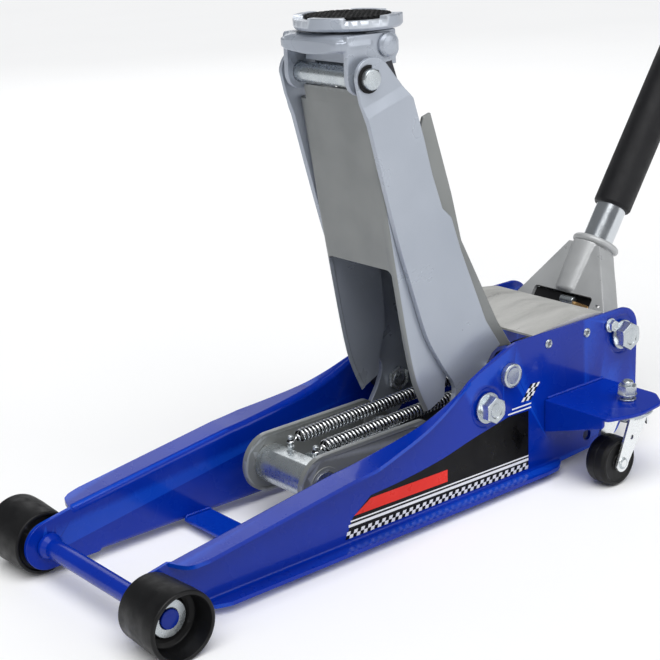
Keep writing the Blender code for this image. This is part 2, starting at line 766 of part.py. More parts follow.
def saddle_bracket():
    """Casting under the saddle: cap and front skirt, spindle block and two ears."""
    cap = mm([(274, 490), (274, 472), (281, 472), (281, 478), (316, 478), (316, 490)])
    half_width = 48 * MM
    bracket = solid("saddle_bracket", prism(cap, -half_width, half_width), BRACKET, ARM_SILVER)
    centre = block((276 * MM, -33 * MM, 462 * MM), (358 * MM, 33 * MM, BRACKET_TOP))
    ear = rounded(
        mm(
            [
                (275, 489.8, 3),
                (275, 474, 5),
                (283, 464, 4),
                (283, 433, 16.9),
                (317, 433, 16.9),
                (330, 461.5, 6),
                (349, 461.5, 15.9),
                (349, 489.8, 8),
            ]
        )
    )
    join(bracket, centre)
    for _, side in SIDES:
        join(bracket, prism(ear, *mirrored(*LINK_LAYER, side)))
    reach = 60 * MM
    spindle = rod((SADDLE_X, 0), 10.3 * MM, 455 * MM, 495 * MM, "Z")
    bolts = [
        rod(BAR_HEAD, BAR_BOLT_R + GAP, *mirrored(33.5 * MM, reach, side)) for _, side in SIDES
    ]
    cut(bracket, spindle, rod(SADDLE_PIVOT, SADDLE_PIN_R + GAP, -reach, reach), *bolts)
    for label, side in SIDES:
        head = LINK_LAYER[1] + GAP
        profile = [
            (0, 33.3 * MM),
            (BAR_BOLT_R, 33.3 * MM),
            (BAR_BOLT_R, head),
            (11.5 * MM, head),
            (11.5 * MM, 51 * MM),
            (10 * MM, 52.4 * MM),
            (0, 52.4 * MM),
        ]
        profile = [(r, along * side) for r, along in profile]
        solid(f"levelling_bolt_{label}", turned(profile, BAR_HEAD), BRACKET, ZINC)


def saddle():
    centre = (SADDLE_X, 0)
    base = BRACKET_TOP + GAP
    profile = [
        (0, 463 * MM),
        (10 * MM, 463 * MM),
        (10 * MM, base),
        (22 * MM, base),
        (22 * MM, 492.3 * MM),
        (50.5 * MM, 492.3 * MM),
        (SADDLE_R, 494.5 * MM),
        (SADDLE_R, SADDLE_TOP),
        (43 * MM, SADDLE_TOP),
        (42 * MM, 500 * MM),
        (0, 500 * MM),
    ]
    solid("saddle", turned(profile, centre, "Z", FINE), SADDLE, ARM_SILVER)
    pad = rod(centre, 41.5 * MM, 500 * MM + GAP, SADDLE_TOP - 0.2 * MM, "Z", FINE)
    solid("saddle_pad", pad, SADDLE, RUBBER)


# ---------------------------------------------------------------- wheels and casters


def front_wheel(label, side):
    spin = joint_empty(f"wheel_spin_{label}", JACK, on_mid_plane(AXLE))
    hub = 118.2 * MM
    profile = [
        (AXLE_HOLE_R, WHEEL_IN),
        (31 * MM, WHEEL_IN),
        (WHEEL_R, 128 * MM),
        (WHEEL_R, 141.5 * MM),
        (31.5 * MM, WHEEL_OUT),
        (29 * MM, WHEEL_OUT),
        (27.8 * MM, hub),
        (AXLE_HOLE_R, hub),
    ]
    profile = [(r, along * side) for r, along in profile]
    wheel = turned(profile, AXLE, steps=FINE, ring=True)
    solid(f"front_wheel_{label}", wheel, spin, WHEEL_BLACK)


def caster(label, side):
    """Swivel fork with its riveted axle, and its wheel."""
    stem = (CASTER[0], CASTER[1] * side)
    swivel = joint_empty(f"caster_swivel_{label}", JACK, (*stem, CASTER_PLATE_TOP))
    under_shelf = CASTER_PLATE_TOP - SHEET - GAP
    race = [
        (5 * MM, 70 * MM),
        (22 * MM, 70 * MM),
        (27.5 * MM, 77 * MM),
        (27.5 * MM, under_shelf),
        (5 * MM, under_shelf),
    ]
    fork = solid(f"caster_fork_{label}", turned(race, stem, "Z", FINE, ring=True), swivel, ZINC)
    axle = (CASTER_WHEEL_X, CASTER_WHEEL_R)
    lobe = arc(axle, 9.5 * MM, 190, 350, 8)
    leg = [*mm([(590, 73), (559, 73)]), *lobe]
    middle = CASTER[1]
    for edge in (-1, 1):
        face, back = middle + edge * 14.6 * MM, middle + edge * 17.2 * MM
        join(fork, prism(leg, *sorted((face * side, back * side))))
    top_low, top_high = mirrored(middle - 16 * MM, middle + 16 * MM, side)
    top = block((559.5 * MM, top_low, 70.3 * MM), (589.5 * MM, top_high, 73.5 * MM))
    join(fork, top)
    join(fork, rod(axle, 4 * MM, *mirrored(middle - 19 * MM, middle + 19 * MM, side), steps=SMALL))
    cut(fork, rod(stem, 6.3 * MM, 66 * MM, 90 * MM, "Z"))

    spin = joint_empty(
        f"caster_spin_{label}", swivel, (CASTER_WHEEL_X, middle * side, CASTER_WHEEL_R)
    )
    half = mm([(4.3, 13), (24, 13), (26.5, 8)])
    profile = [*half, *[(r, -along) for r, along in reversed(half)]]
    profile = [(r, middle * side + along) for r, along in profile]
    wheel = turned(profile, axle, steps=FINE, ring=True)
    solid(f"caster_wheel_{label}", wheel, spin, WHEEL_BLACK)


# ---------------------------------------------------------------- yoke and handle
CHEEK = (60 * MM, 66 * MM)


def upright(bm):
    """Moves a shape drawn about the yoke's pivot, handle upright, to jack coordinates."""
    bm.transform(Matrix.Translation(Vector(YOKE["point"])))
    return bm


def yoke():
    """Handle socket, drawn upright about its pivot; its front faces -X."""
    socket = mm([(0, 46), (24, 46), (24, 90), (27.5, 92), (27.5, 97), (25, 100), (0, 100)])
    tube = turned(socket, (0, 0), "Z", FINE)
    body = solid("yoke_socket", upright(tube), YOKE, YOKE_SILVER)
    face = mm([(-65.5, 7), (-65.5, 14), (-25, 92), (25, 92), (65.5, 14), (65.5, 7)])
    join(body, upright(prism(face, -20.5 * MM, -16.5 * MM, "X")))
    for _, side in SIDES:
        cheek = []
        for z, outer, rear in ((-4, 66, 13), (13, 66, 13), (91, 25.5, 11)):
            inner = outer - 6
            corners = ((-20, inner), (-20, outer), (rear, outer), (rear, inner))
            cheek.append([(x * MM, y * side * MM, z * MM) for x, y in corners])
        join(body, upright(loft(cheek)))
        lug = [
            *arc((0, 0), 18 * MM, 190, -10, 8),
            *arc(roller_local(), 9 * MM, -20, -160, 5),
        ]
        join(body, upright(prism(lug, *mirrored(*CHEEK, side))))
    window = rounded(mm([(-43, 9, 4), (-43, 27, 4), (43, 27, 4), (43, 9, 4)]))
    reach = 80 * MM
    cut(
        body,
        upright(prism(window, -25 * MM, -12 * MM, "X")),
        upright(rod((0, 0), TUBE_R + GAP, 38 * MM, 110 * MM, "Z", FINE)),
        upright(rod((0, 0), YOKE_HOLE_R, -reach, reach)),
        upright(rod(roller_local(), 4.3 * MM, -reach, reach, steps=SMALL)),
    )
    half = [(ROLLER_R, 12 * MM), (4 * MM, 12 * MM), (4 * MM, CHEEK[1]), (0, CHEEK[1])]
    roller = turned([*[(r, -along) for r, along in reversed(half)], *half], roller_local())
    solid("yoke_roller", upright(roller), YOKE, ZINC)


def roller_local():
    """The roller's place beside the upright yoke's pivot."""
    return (ROLLER_ARM * math.sin(ROLLER_LEAN), -ROLLER_ARM * math.cos(ROLLER_LEAN))


def handle():
    twist = joint_empty("handle_twist", YOKE, on_mid_plane(YOKE_PIVOT))
    axis = (0, 0)
    lower_end = 560 * MM
    tube = [
        (15.6 * MM, 50 * MM),
        (TUBE_R, 50 * MM),
        (TUBE_R, lower_end),
        (15.6 * MM, lower_end),
    ]
    tube = turned(tube, axis, "Z", FINE, ring=True)
    solid("handle_lower_tube", upright(tube), twist, TUBE_SILVER)
    upper = rod(axis, 15.3 * MM, 470 * MM, HANDLE_LENGTH - 8 * MM, "Z", FINE)
    solid("handle_upper_tube", upright(upper), twist, TUBE_SILVER)
    sleeve = mm([(17.8, 142), (20.5, 142), (22, 144), (22, 518), (20.5, 520), (17.8, 520)])
    sleeve = turned(sleeve, axis, "Z", FINE, ring=True)
    solid("foam_sleeve", upright(sleeve), twist, FOAM)
    grip_low = 850 * MM
    cap = HANDLE_LENGTH - 5 * MM
    grip = [
        (15.6 * MM, grip_low),
        (18 * MM, grip_low),
        (GRIP_R, grip_low + 2 * MM),
        (GRIP_R, HANDLE_LENGTH - GRIP_BEVEL),
        (GRIP_R - GRIP_BEVEL, HANDLE_LENGTH),
        (0, HANDLE_LENGTH),
        (0, cap),
        (15.6 * MM, cap),
    ]
    solid("handle_grip", upright(turned(grip, axis, "Z", FINE, ring=True)), twist, RUBBER)
    dog = [(0, 14 * MM), (9 * MM, 14 * MM), (9 * MM, 34 * MM), (14 * MM, 36 * MM)]
    dog = [*dog, (14 * MM, 49.5 * MM), (0, 49.5 * MM)]
    solid("release_dog", upright(turned(dog, axis, "Z")), twist, BRASS)


# ---------------------------------------------------------------- assembly
front_axle()
cross_plates()
cover_plate()
levelling_pin()
hydraulic_unit()
ram_and_crosshead()
springs()
arm_channels()
saddle_pin()
saddle_bracket()
saddle()
yoke()
handle()
for side_label, side_sign in SIDES:
    side_plate(side_label, side_sign)
    axle_ring(side_label, side_sign)
    caster_bracket(side_label, side_sign)
    caster_bolt(side_label, side_sign)
    frame_bolts(side_label, side_sign)
    link(side_label, side_sign)
    arm_plate(side_label, side_sign)
    levelling_bar(side_label, side_sign)
    front_wheel(side_label, side_sign)
    caster(side_label, side_sign)
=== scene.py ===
"""Looks of the hydraulic trolley jack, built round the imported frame.

Shapes are written in millimetres in jack coordinates: x from the front axle towards the handle,
y from the middle of the jack (left side at -y), z from the floor.  piece() turns them into the
row frame's metres.
"""

import json
from math import acos, cos, degrees, radians, sin, tan, tau

import bmesh
import bpy
from mathutils import Matrix, Quaternion, Vector


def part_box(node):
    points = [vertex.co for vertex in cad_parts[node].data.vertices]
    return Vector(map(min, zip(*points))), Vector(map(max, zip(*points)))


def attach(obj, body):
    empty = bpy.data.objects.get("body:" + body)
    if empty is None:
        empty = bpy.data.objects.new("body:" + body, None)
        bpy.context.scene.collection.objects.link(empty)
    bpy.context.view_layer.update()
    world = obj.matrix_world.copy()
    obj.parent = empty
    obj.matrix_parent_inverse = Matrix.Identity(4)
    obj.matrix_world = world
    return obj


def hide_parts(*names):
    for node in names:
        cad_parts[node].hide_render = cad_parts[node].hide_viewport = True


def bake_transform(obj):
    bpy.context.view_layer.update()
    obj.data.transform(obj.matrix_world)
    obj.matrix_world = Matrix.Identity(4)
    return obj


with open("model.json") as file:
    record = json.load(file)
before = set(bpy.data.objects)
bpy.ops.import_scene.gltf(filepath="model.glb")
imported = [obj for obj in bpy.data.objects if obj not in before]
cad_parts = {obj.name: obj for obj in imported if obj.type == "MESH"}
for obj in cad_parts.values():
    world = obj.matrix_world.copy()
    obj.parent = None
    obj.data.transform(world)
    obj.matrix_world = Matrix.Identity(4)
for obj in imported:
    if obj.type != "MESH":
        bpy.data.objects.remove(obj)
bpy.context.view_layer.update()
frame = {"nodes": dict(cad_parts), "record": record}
RECORD = frame["record"]
JOINTS = {joint["name"]: joint for joint in RECORD["behaviour"]["joints"]}
AXLE_X = JOINTS["wheel_spin_left"]["pos_m"][0]
TO_ROW = Matrix.Translation((AXLE_X, 0, 0)) @ Matrix.Scale(0.001, 4)
SIDES = (("left", -1), ("right", 1))


def pivot(joint):
    """A joint's place in jack coordinates, as (x, z)."""
    x, _, z = JOINTS[joint]["pos_m"]
    return ((x - AXLE_X) * 1000, z * 1000)


AXLE = pivot("wheel_spin_left")
ARM_PIVOT = pivot("arm_lift")
BAR_FOOT = pivot("bar_swing")
SADDLE_PIVOT = pivot("bracket_level")
LINK_PIVOT = pivot("link_tilt")
YOKE_PIVOT = pivot("yoke_tilt")
BAR_HEAD = (
    SADDLE_PIVOT[0] + BAR_FOOT[0] - ARM_PIVOT[0],
    SADDLE_PIVOT[1] + BAR_FOOT[1] - ARM_PIVOT[1],
)

# -------------------- outlines and solids


def arc(centre, radius, start, end, steps):
    angles = [radians(start + (end - start) * i / steps) for i in range(steps + 1)]
    return [
        (centre[0] + radius * cos(a), centre[1] + radius * sin(a)) for a in angles
    ]


def circle(centre, radius, steps=64):
    return arc(centre, radius, 0, 360, steps)[:-1]


STRAIGHT = 1.56  # half the angle at a corner that is too flat to round


def hexagon(centre, radius):
    return arc(centre, radius, 30, 390, 6)[:-1]


def rounded(corners, steps=10, closed=True):
    """An outline from corners (a, b) or (a, b, radius), whose rounds become arcs."""
    corners = [(*corner, 0)[:3] for corner in corners]
    outline = []
    for i, (a, b, radius) in enumerate(corners):
        here = Vector((a, b))
        if not radius or (not closed and i in (0, len(corners) - 1)):
            outline.append((a, b))
            continue
        before = (Vector(corners[i - 1][:2]) - here).normalized()
        after = (Vector(corners[(i + 1) % len(corners)][:2]) - here).normalized()
        half = before.angle(after) / 2
        if half > STRAIGHT:
            outline.append((a, b))
            continue
        centre = here + (before + after).normalized() * radius / sin(half)
        reach = radius / tan(half)
        first, last = here + before * reach - centre, here + after * reach - centre
        turn = first.angle_signed(last)
        for step in range(steps + 1):
            outline.append(tuple(centre + Matrix.Rotation(-turn * step / steps, 2) @ first))
    return outline


def smooth_line(points, steps):
    """A Catmull-Rom line through points, with `steps` parts to each stretch."""
    ends = [points[0], *points, points[-1]]
    line = []
    for i in range(len(points) - 1):
        p = [Vector(ends[i + k]) for k in range(4)]
        for step in range(steps):
            t = step / steps
            square = (2 * p[0] - 5 * p[1] + 4 * p[2] - p[3]) * t**2
            cube = (3 * p[1] - p[0] - 3 * p[2] + p[3]) * t**3
            line.append(tuple(0.5 * (2 * p[1] + (p[2] - p[0]) * t + square + cube)))
    return [*line, tuple(points[-1])]


def on_line(stations, x):
    """The value at x on a line of (x, value) stations."""
    if x <= stations[0][0]:
        return stations[0][1]
    for (x0, v0), (x1, v1) in zip(stations, stations[1:]):
        if x <= x1:
            return v0 + (v1 - v0) * (x - x0) / (x1 - x0)
    return stations[-1][1]


def span_at(outline, x):
    """The lowest and highest point of a closed outline at x."""
    heights = []
    for (x0, z0), (x1, z1) in zip(outline, [*outline[1:], outline[0]]):
        if (x0 - x) * (x1 - x) <= 0 and x0 != x1:
            heights.append(z0 + (z1 - z0) * (x - x0) / (x1 - x0))
    return min(heights), max(heights)


def placed(axis, a, b, along):
    return {"X": (along, a, b), "Y": (a, along, b), "Z": (a, b, along)}[axis]


def loft(sections):
    """A closed solid through sections, each a loop of the same number of points."""
    bm = bmesh.new()
    loops = [[bm.verts.new(point) for point in section] for section in sections]
    count = len(loops[0])
    for low, high in zip(loops, loops[1:]):
        for i in range(count):
            bm.faces.new((low[i], low[(i + 1) % count], high[(i + 1) % count], high[i]))
    bm.faces.new(loops[0])
    bm.faces.new(loops[-1])
    bmesh.ops.remove_doubles(bm, verts=bm.verts, dist=1e-4)
    bmesh.ops.recalc_face_normals(bm, faces=bm.faces)
    return bm


def prism(outline, low, high, axis="Y"):
    return loft([[placed(axis, a, b, along) for a, b in outline] for along in (low, high)])


def block(low, high):
    outline = [(low[0], low[1]), (high[0], low[1]), (high[0], high[1]), (low[0], high[1])]
    return prism(outline, low[2], high[2], "Z")


def mirrored(half):
    """The other half of a turned profile, running back towards its first point."""
    return [(r, -along, *rest) for r, along, *rest in reversed(half)]


def turned(profile, centre, axis="Y", steps=72, ring=False, side=1, rounds=4):
    """Corners (radius, along) or (radius, along, round) turned about an axis."""
    profile = [(r, along * side, *rest) for r, along, *rest in profile]
    profile = rounded(profile, rounds, closed=ring)
    bm = bmesh.new()
    rings = []
    for r, along in profile:
        if r < 1e-6:
            rings.append([bm.verts.new(placed(axis, *centre, along))])
            continue
        points = circle(centre, r, steps)
        rings.append([bm.verts.new(placed(axis, a, b, along)) for a, b in points])
    pairs = list(zip(rings, rings[1:]))
    if ring:
        pairs.append((rings[-1], rings[0]))
    for low, high in pairs:
        for i in range(steps):
            j = (i + 1) % steps
            loop = [low[i % len(low)], low[j % len(low)], high[j % len(high)], high[i % len(high)]]
            loop = list(dict.fromkeys(loop))
            if len(loop) > 2:
                bm.faces.new(loop)
    bmesh.ops.recalc_face_normals(bm, faces=bm.faces)
    return bm


def rod(centre, radius, low, high, axis="Y", steps=64):
    return prism(circle(centre, radius, steps), low, high, axis)


def layer(low, high, side):
    return (low, high) if side > 0 else (-high, -low)


def together(*parts):
    whole = bmesh.new()
    for part in parts:
        mesh = bpy.data.meshes.new("part")
        part.to_mesh(mesh)
        part.free()
        whole.from_mesh(mesh)
        bpy.data.meshes.remove(mesh)
    return whole


def temporary(bm):
    mesh = bpy.data.meshes.new("temporary")
    bm.to_mesh(mesh)
    bm.free()
    made = bpy.data.objects.new("temporary", mesh)
    bpy.context.scene.collection.objects.link(made)
    return made


def evaluated(made, *others):
    """The mesh of an object with its modifiers, as a bmesh; the objects are removed."""
    graph = bpy.context.evaluated_depsgraph_get()
    mesh = bpy.data.meshes.new_from_object(made.evaluated_get(graph))
    bm = bmesh.new()
    bm.from_mesh(mesh)
    for old in (made, *others):
        data = old.data
        bpy.data.objects.remove(old)
        bpy.data.meshes.remove(data)
    bpy.data.meshes.remove(mesh)
    return bm


def combined(bm, operation, *parts):
    """bm joined with the parts, cut by them, or kept only inside them."""
    made = temporary(bm)
    helpers = [temporary(part) for part in parts]
    for helper in helpers:
        modifier = made.modifiers.new("shape", "BOOLEAN")
        modifier.operation = operation
        modifier.solver = "EXACT"
        modifier.object = helper
    return evaluated(made, *helpers)


def join(bm, *parts):
    return combined(bm, "UNION", *parts)


def cut(bm, *parts):
    return combined(bm, "DIFFERENCE", *parts)


def cast(bm, voxel=1.1, rounds=6):
    """The skin of a casting: its parts melt together and its corners soften."""
    made = temporary(bm)
    remesh = made.modifiers.new("skin", "REMESH")
    remesh.mode = "VOXEL"
    remesh.voxel_size = voxel
    smooth = made.modifiers.new("soften", "SMOOTH")
    smooth.factor = 0.5
    smooth.iterations = rounds
    return evaluated(made)


def moved(bm, matrix):
    bm.transform(matrix)
    return bm


def hex_head(centre, radius, low, high, side, recess=0.0, axis="Y"):
    """A hexagon head with chamfered corners, and a shallow round recess in its face."""
    flat = radius * cos(radians(30))
    chamfer = (radius - flat) * 0.62
    cone = [(0, low), (radius + 1, low), (radius + 1, high - chamfer), (flat * 0.97, high)]
    cone += [(flat * 0.68, high), (flat * 0.6, high - recess), (0, high - recess)]
    head = prism(hexagon(centre, radius), *layer(low, high, side), axis)
    return combined(head, "INTERSECT", turned(cone, centre, axis, side=side))


def ring_round(centre, across, up, radius, count):
    angles = [tau * n / count for n in range(count)]
    return [centre + (across * cos(a) + up * sin(a)) * radius for a in angles]


def bead(points, radius, ripple=0.16, pitch=2.2):
    """A weld bead along a line of points."""
    line = [Vector(point) for point in points]
    lengths = [0.0]
    for a, b in zip(line, line[1:]):
        lengths.append(lengths[-1] + (b - a).length)
    count = max(6, int(lengths[-1] / 0.7))
    sections = []
    for i in range(count + 1):
        place = lengths[-1] * i / count
        k = max(j for j in range(len(lengths)) if lengths[j] <= place + 1e-9)
        k = min(k, len(line) - 2)
        share = (place - lengths[k]) / (lengths[k + 1] - lengths[k])
        centre = line[k].lerp(line[k + 1], share)
        way = (line[k + 1] - line[k]).normalized()
        side = way.cross(Vector((0.31, 0.17, 0.93))).normalized()
        other = way.cross(side)
        ends = min(1.0, 0.35 + min(place, lengths[-1] - place) / 2)
        size = radius * ends * (1 + ripple * sin(place * tau / pitch))
        sections.append(ring_round(centre, side, other, size, 10))
    return loft(sections)


# -------------------- materials


def node(tree, kind, **inputs):
    made = tree.nodes.new(kind)
    for name, value in inputs.items():
        made.inputs[name.replace("_", " ")].default_value = value
    return made


def finish(
    name, colour, second, roughness, metallic=0.0, spots=14.0, edge_wear_and_highlight=None, hollow_dust_and_shade=None,
    grain=(900.0, 0.12), stretch=(1, 1, 1), spread=0.12, coat=0.0, specular=0.5,
):
    """A finish with drifting colour, edges lightened by wear and painted highlight, hollows tinted
    by dust and painted shade, uneven gloss and a fine grain.
    """
    material = bpy.data.materials.new(name)
    material.use_nodes = True
    tree = material.node_tree
    shader = tree.nodes["Principled BSDF"]
    shader.inputs["Metallic"].default_value = metallic
    shader.inputs["Coat Weight"].default_value = coat
    shader.inputs["Coat Roughness"].default_value = 0.08
    shader.inputs["Specular IOR Level"].default_value = specular
    place = tree.nodes.new("ShaderNodeTexCoord")
    mapping = node(tree, "ShaderNodeMapping", Scale=stretch)
    tree.links.new(place.outputs["Object"], mapping.inputs["Vector"])

    def noise(scale, detail=4.0):
        made = node(tree, "ShaderNodeTexNoise", Scale=scale, Detail=detail)
        tree.links.new(mapping.outputs["Vector"], made.inputs["Vector"])
        return made.outputs["Fac"]

    def mixed(factor, a, b):
        made = tree.nodes.new("ShaderNodeMix")
        made.data_type = "RGBA"
        tree.links.new(factor, made.inputs["Factor"])
        for socket, value in (("A", a), ("B", b)):
            target = [s for s in made.inputs if s.name == socket and s.type == "RGBA"][0]
            if isinstance(value, tuple):
                target.default_value = (*value, 1)
            else:
                tree.links.new(value, target)
        return [s for s in made.outputs if s.type == "RGBA"][0]

    def ranged(value, low, high, to_low, to_high):
        limits = dict(From_Min=low, From_Max=high, To_Min=to_low, To_Max=to_high)
        made = node(tree, "ShaderNodeMapRange", **limits)
        tree.links.new(value, made.inputs["Value"])
        return made.outputs["Result"]

    drift = noise(spots)
    painted = mixed(ranged(drift, 0.35, 0.65, 0.0, 1.0), colour, second)
    if edge_wear_and_highlight or hollow_dust_and_shade:
        geometry = tree.nodes.new("ShaderNodeNewGeometry")
        broken = ranged(noise(260.0), 0.3, 0.7, -0.012, 0.012)
        edge = tree.nodes.new("ShaderNodeMath")
        edge.operation = "ADD"
        tree.links.new(geometry.outputs["Pointiness"], edge.inputs[0])
        tree.links.new(broken, edge.inputs[1])
        # Convex edges take the lighter edge colour: partly real wear, partly a painted highlight,
        # as the brighter blue on the frame's edges.
        if edge_wear_and_highlight:
            painted = mixed(ranged(edge.outputs[0], 0.55, 0.62, 0.0, 0.85), painted, edge_wear_and_highlight)
        # Hollows take the crevice colour: dust where it is lighter than the finish, as on the black
        # wheels and rubber, and painted shade where it is darker, as on the frame, the metals and
        # the cover.
        if hollow_dust_and_shade:
            painted = mixed(ranged(edge.outputs[0], 0.45, 0.36, 0.0, 0.7), painted, hollow_dust_and_shade)
    tree.links.new(painted, shader.inputs["Base Color"])
    smoothest = max(0.04, roughness - spread)
    gloss = ranged(noise(spots * 3.1), 0.3, 0.7, smoothest, roughness + spread)
    tree.links.new(gloss, shader.inputs["Roughness"])
    bump = node(tree, "ShaderNodeBump", Strength=grain[1], Distance=0.0004)
    tree.links.new(noise(grain[0], 3.0), bump.inputs["Height"])
    tree.links.new(bump.outputs["Normal"], shader.inputs["Normal"])
    return material


FINISHES = {
    "frame_blue": dict(
        colour=(0.0002, 0.021, 0.30), second=(0.0004, 0.027, 0.36), roughness=0.26, spots=9,
        # The brighter blue on the edges is a painted highlight; the dark blue in the hollows is
        # painted shade.
        edge_wear_and_highlight=(0.004, 0.06, 0.50), hollow_dust_and_shade=(0.001, 0.005, 0.09), grain=(420, 0.08), spread=0.06,
        coat=0.3, specular=0.12,
    ),
    "arm_silver": dict(
        colour=(0.355, 0.39, 0.45), second=(0.40, 0.435, 0.495), roughness=0.34, metallic=0.35,
        spots=7, edge_wear_and_highlight=(0.62, 0.66, 0.72), grain=(500, 0.10),
    ),
    "arm_grey": dict(
        colour=(0.205, 0.215, 0.215), second=(0.25, 0.26, 0.255), roughness=0.42, metallic=0.35,
        spots=8, edge_wear_and_highlight=(0.42, 0.44, 0.46), hollow_dust_and_shade=(0.05, 0.052, 0.056), grain=(500, 0.12),
    ),
    "zinc_plate": dict(
        colour=(0.46, 0.50, 0.53), second=(0.55, 0.59, 0.61), roughness=0.28, metallic=0.9,
        spots=60, edge_wear_and_highlight=(0.9, 0.92, 0.92), hollow_dust_and_shade=(0.16, 0.18, 0.19), grain=(1500, 0.07),
        spread=0.05,
    ),
    "dark_steel": dict(
        colour=(0.035, 0.037, 0.045), second=(0.05, 0.052, 0.06), roughness=0.36, metallic=0.6,
        spots=16, edge_wear_and_highlight=(0.22, 0.23, 0.25), hollow_dust_and_shade=(0.012, 0.012, 0.013), grain=(700, 0.2),
    ),
    "spring_steel": dict(
        colour=(0.74, 0.76, 0.78), second=(0.86, 0.87, 0.88), roughness=0.16, metallic=1.0,
        spots=120, hollow_dust_and_shade=(0.05, 0.05, 0.05), grain=(1600, 0.08), spread=0.06,
    ),
    "wheel_black": dict(
        colour=(0.004, 0.004, 0.0045), second=(0.007, 0.007, 0.0075), roughness=0.44, spots=30,
        edge_wear_and_highlight=(0.03, 0.03, 0.033), hollow_dust_and_shade=(0.012, 0.012, 0.012), grain=(800, 0.18), specular=0.25,
    ),
    "black_rubber": dict(
        colour=(0.006, 0.006, 0.007), second=(0.011, 0.011, 0.012), roughness=0.62, spots=40,
        hollow_dust_and_shade=(0.02, 0.02, 0.02), grain=(1200, 0.4), specular=0.2,
    ),
    "foam_sleeve": dict(
        colour=(0.004, 0.004, 0.0055), second=(0.008, 0.008, 0.0095), roughness=0.52, spots=24,
        grain=(2600, 0.55), spread=0.08, specular=0.3,
    ),
    "cover_grey": dict(
        colour=(0.38, 0.38, 0.36), second=(0.60, 0.595, 0.57), roughness=0.38, metallic=0.3,
        spots=5, edge_wear_and_highlight=(0.75, 0.75, 0.73), hollow_dust_and_shade=(0.22, 0.21, 0.2), grain=(240, 0.10),
        stretch=(1, 7, 7),
    ),
    "yoke_silver": dict(
        colour=(0.42, 0.43, 0.435), second=(0.50, 0.51, 0.515), roughness=0.38, metallic=0.3,
        spots=18, edge_wear_and_highlight=(0.6, 0.62, 0.63), grain=(520, 0.3),
    ),
    "tube_silver": dict(
        colour=(0.60, 0.63, 0.66), second=(0.70, 0.73, 0.75), roughness=0.2, metallic=0.95,
        spots=22, edge_wear_and_highlight=(0.9, 0.9, 0.9), grain=(900, 0.10), stretch=(1, 1, 0.25), spread=0.08,
    ),
    "brass": dict(
        colour=(0.52, 0.30, 0.12), second=(0.66, 0.42, 0.2), roughness=0.3, metallic=0.95,
        spots=60, edge_wear_and_highlight=(0.85, 0.65, 0.35), hollow_dust_and_shade=(0.12, 0.07, 0.03), grain=(1400, 0.15),
    ),
}
M = {slot: finish(slot, **values) for slot, values in FINISHES.items()}
DECAL = {
    name: finish(f"decal_{name}", *colours, 0.34, spots=spots, grain=(600, 0.05), specular=shine)
    for name, colours, spots, shine in (
        ("black", ((0.0015, 0.0015, 0.002), (0.003, 0.003, 0.0035)), 20, 0.15),
        ("red", ((0.70, 0.022, 0.014), (0.78, 0.03, 0.02)), 20, 0.2),
        ("white", ((0.80, 0.81, 0.83), (0.87, 0.87, 0.88)), 30, 0.5),
    )
}
SPRING_SHADE = finish(
    "spring_shade", colour=(0.006, 0.006, 0.007), second=(0.015, 0.015, 0.016), roughness=0.6,
    spots=90, specular=0.1,
)

# -------------------- pieces


def smooth_object(name, bm, *materials):
    """A smooth-shaded object from a solid in jack millimetres."""
    mesh = bpy.data.meshes.new(name)
    bm.transform(TO_ROW)
    bm.to_mesh(mesh)
    bm.free()
    mesh.shade_smooth()
    for material in materials:
        mesh.materials.append(material)
    made = bpy.data.objects.new(name, mesh)
    bpy.context.scene.collection.objects.link(made)
    return made


def piece(name, bm, body, slot, *nodes, bevel=0.0, segments=2, angle=32, paint=None):
    """A finished piece from a solid in jack millimetres, standing for CAD nodes."""
    if bevel:
        bm.normal_update()
        parts = dict(verts=bm.verts, edges=bm.edges, delimit={"MATERIAL"})
        bmesh.ops.dissolve_limit(bm, angle_limit=radians(0.15), **parts)
    made = smooth_object(name, bm, *(paint or [M[slot]]))
    if bevel:
        modifier = made.modifiers.new("edges", "BEVEL")
        modifier.width = bevel * 0.001
        modifier.segments = segments
        modifier.limit_method = "ANGLE"
        modifier.angle_limit = radians(angle)
        modifier.miter_outer = "MITER_ARC"
        shading = made.modifiers.new("shading", "WEIGHTED_NORMAL")
        shading.weight = 100
    else:
        made.data.set_sharp_from_angle(angle=radians(38))
    if nodes:
        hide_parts(*nodes)
    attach(made, body)


def remade(name, bm, body, slot, **options):
    """The finished piece that stands for one CAD node."""
    piece(f"{name}_made", bm, body, slot, name, **options)


def refined(node_name, body, slot, bevel=0.8, segments=2):
    """A CAD solid with its edges rounded off."""
    bm = bmesh.new()
    bm.from_mesh(frame["nodes"][node_name].data)
    bm.transform(TO_ROW.inverted())
    bmesh.ops.remove_doubles(bm, verts=bm.verts, dist=0.01)
    bmesh.ops.dissolve_limit(bm, angle_limit=radians(0.5), verts=bm.verts, edges=bm.edges)
    bmesh.ops.recalc_face_normals(bm, faces=bm.faces)
    remade(node_name, bm, body, slot, bevel=bevel, segments=segments)


# -------------------- frame
WEB_IN, WEB_OUT, SHEET = 80.0, 84.0, 4.0
SEAT = WEB_OUT + 0.3  # where washers and brackets stand off the web
COVER_BOLT = (619, 146.2)
CASTER_STEM = (574, 146)
CASTER_AXLE = (548, 26.5)
RISE = [(217, 91), (251, 94.5), (316, 104.7), (351, 114), (385, 127.5), (422, 144), (456, 158)]
TOP_EDGE = [(30, 64), (120, 77), *smooth_line(RISE, 6), (470, 161)]
REAR_EDGE = [(666, 161, 26), (666, 58, 12), (630, 13, 24), (540, 8)]
PLATE = rounded([*arc(AXLE, 24.5, 270, 100, 32), *TOP_EDGE, *REAR_EDGE], 14)
TOP_FLANGE = [(27, 84), (30, 96), (33, 103), (40, 108), (52, 110.5), (120, 111), (217, 112)]
TOP_FLANGE += [(251, 112), (390, 86.2), (402, 84)]
FOOT_FLANGE = [(54, 84), (58, 88), (66, 96), (80, 101)]
FOOT_FLANGE += [(500, 101), (520, 99), (534, 90), (538, 84)]


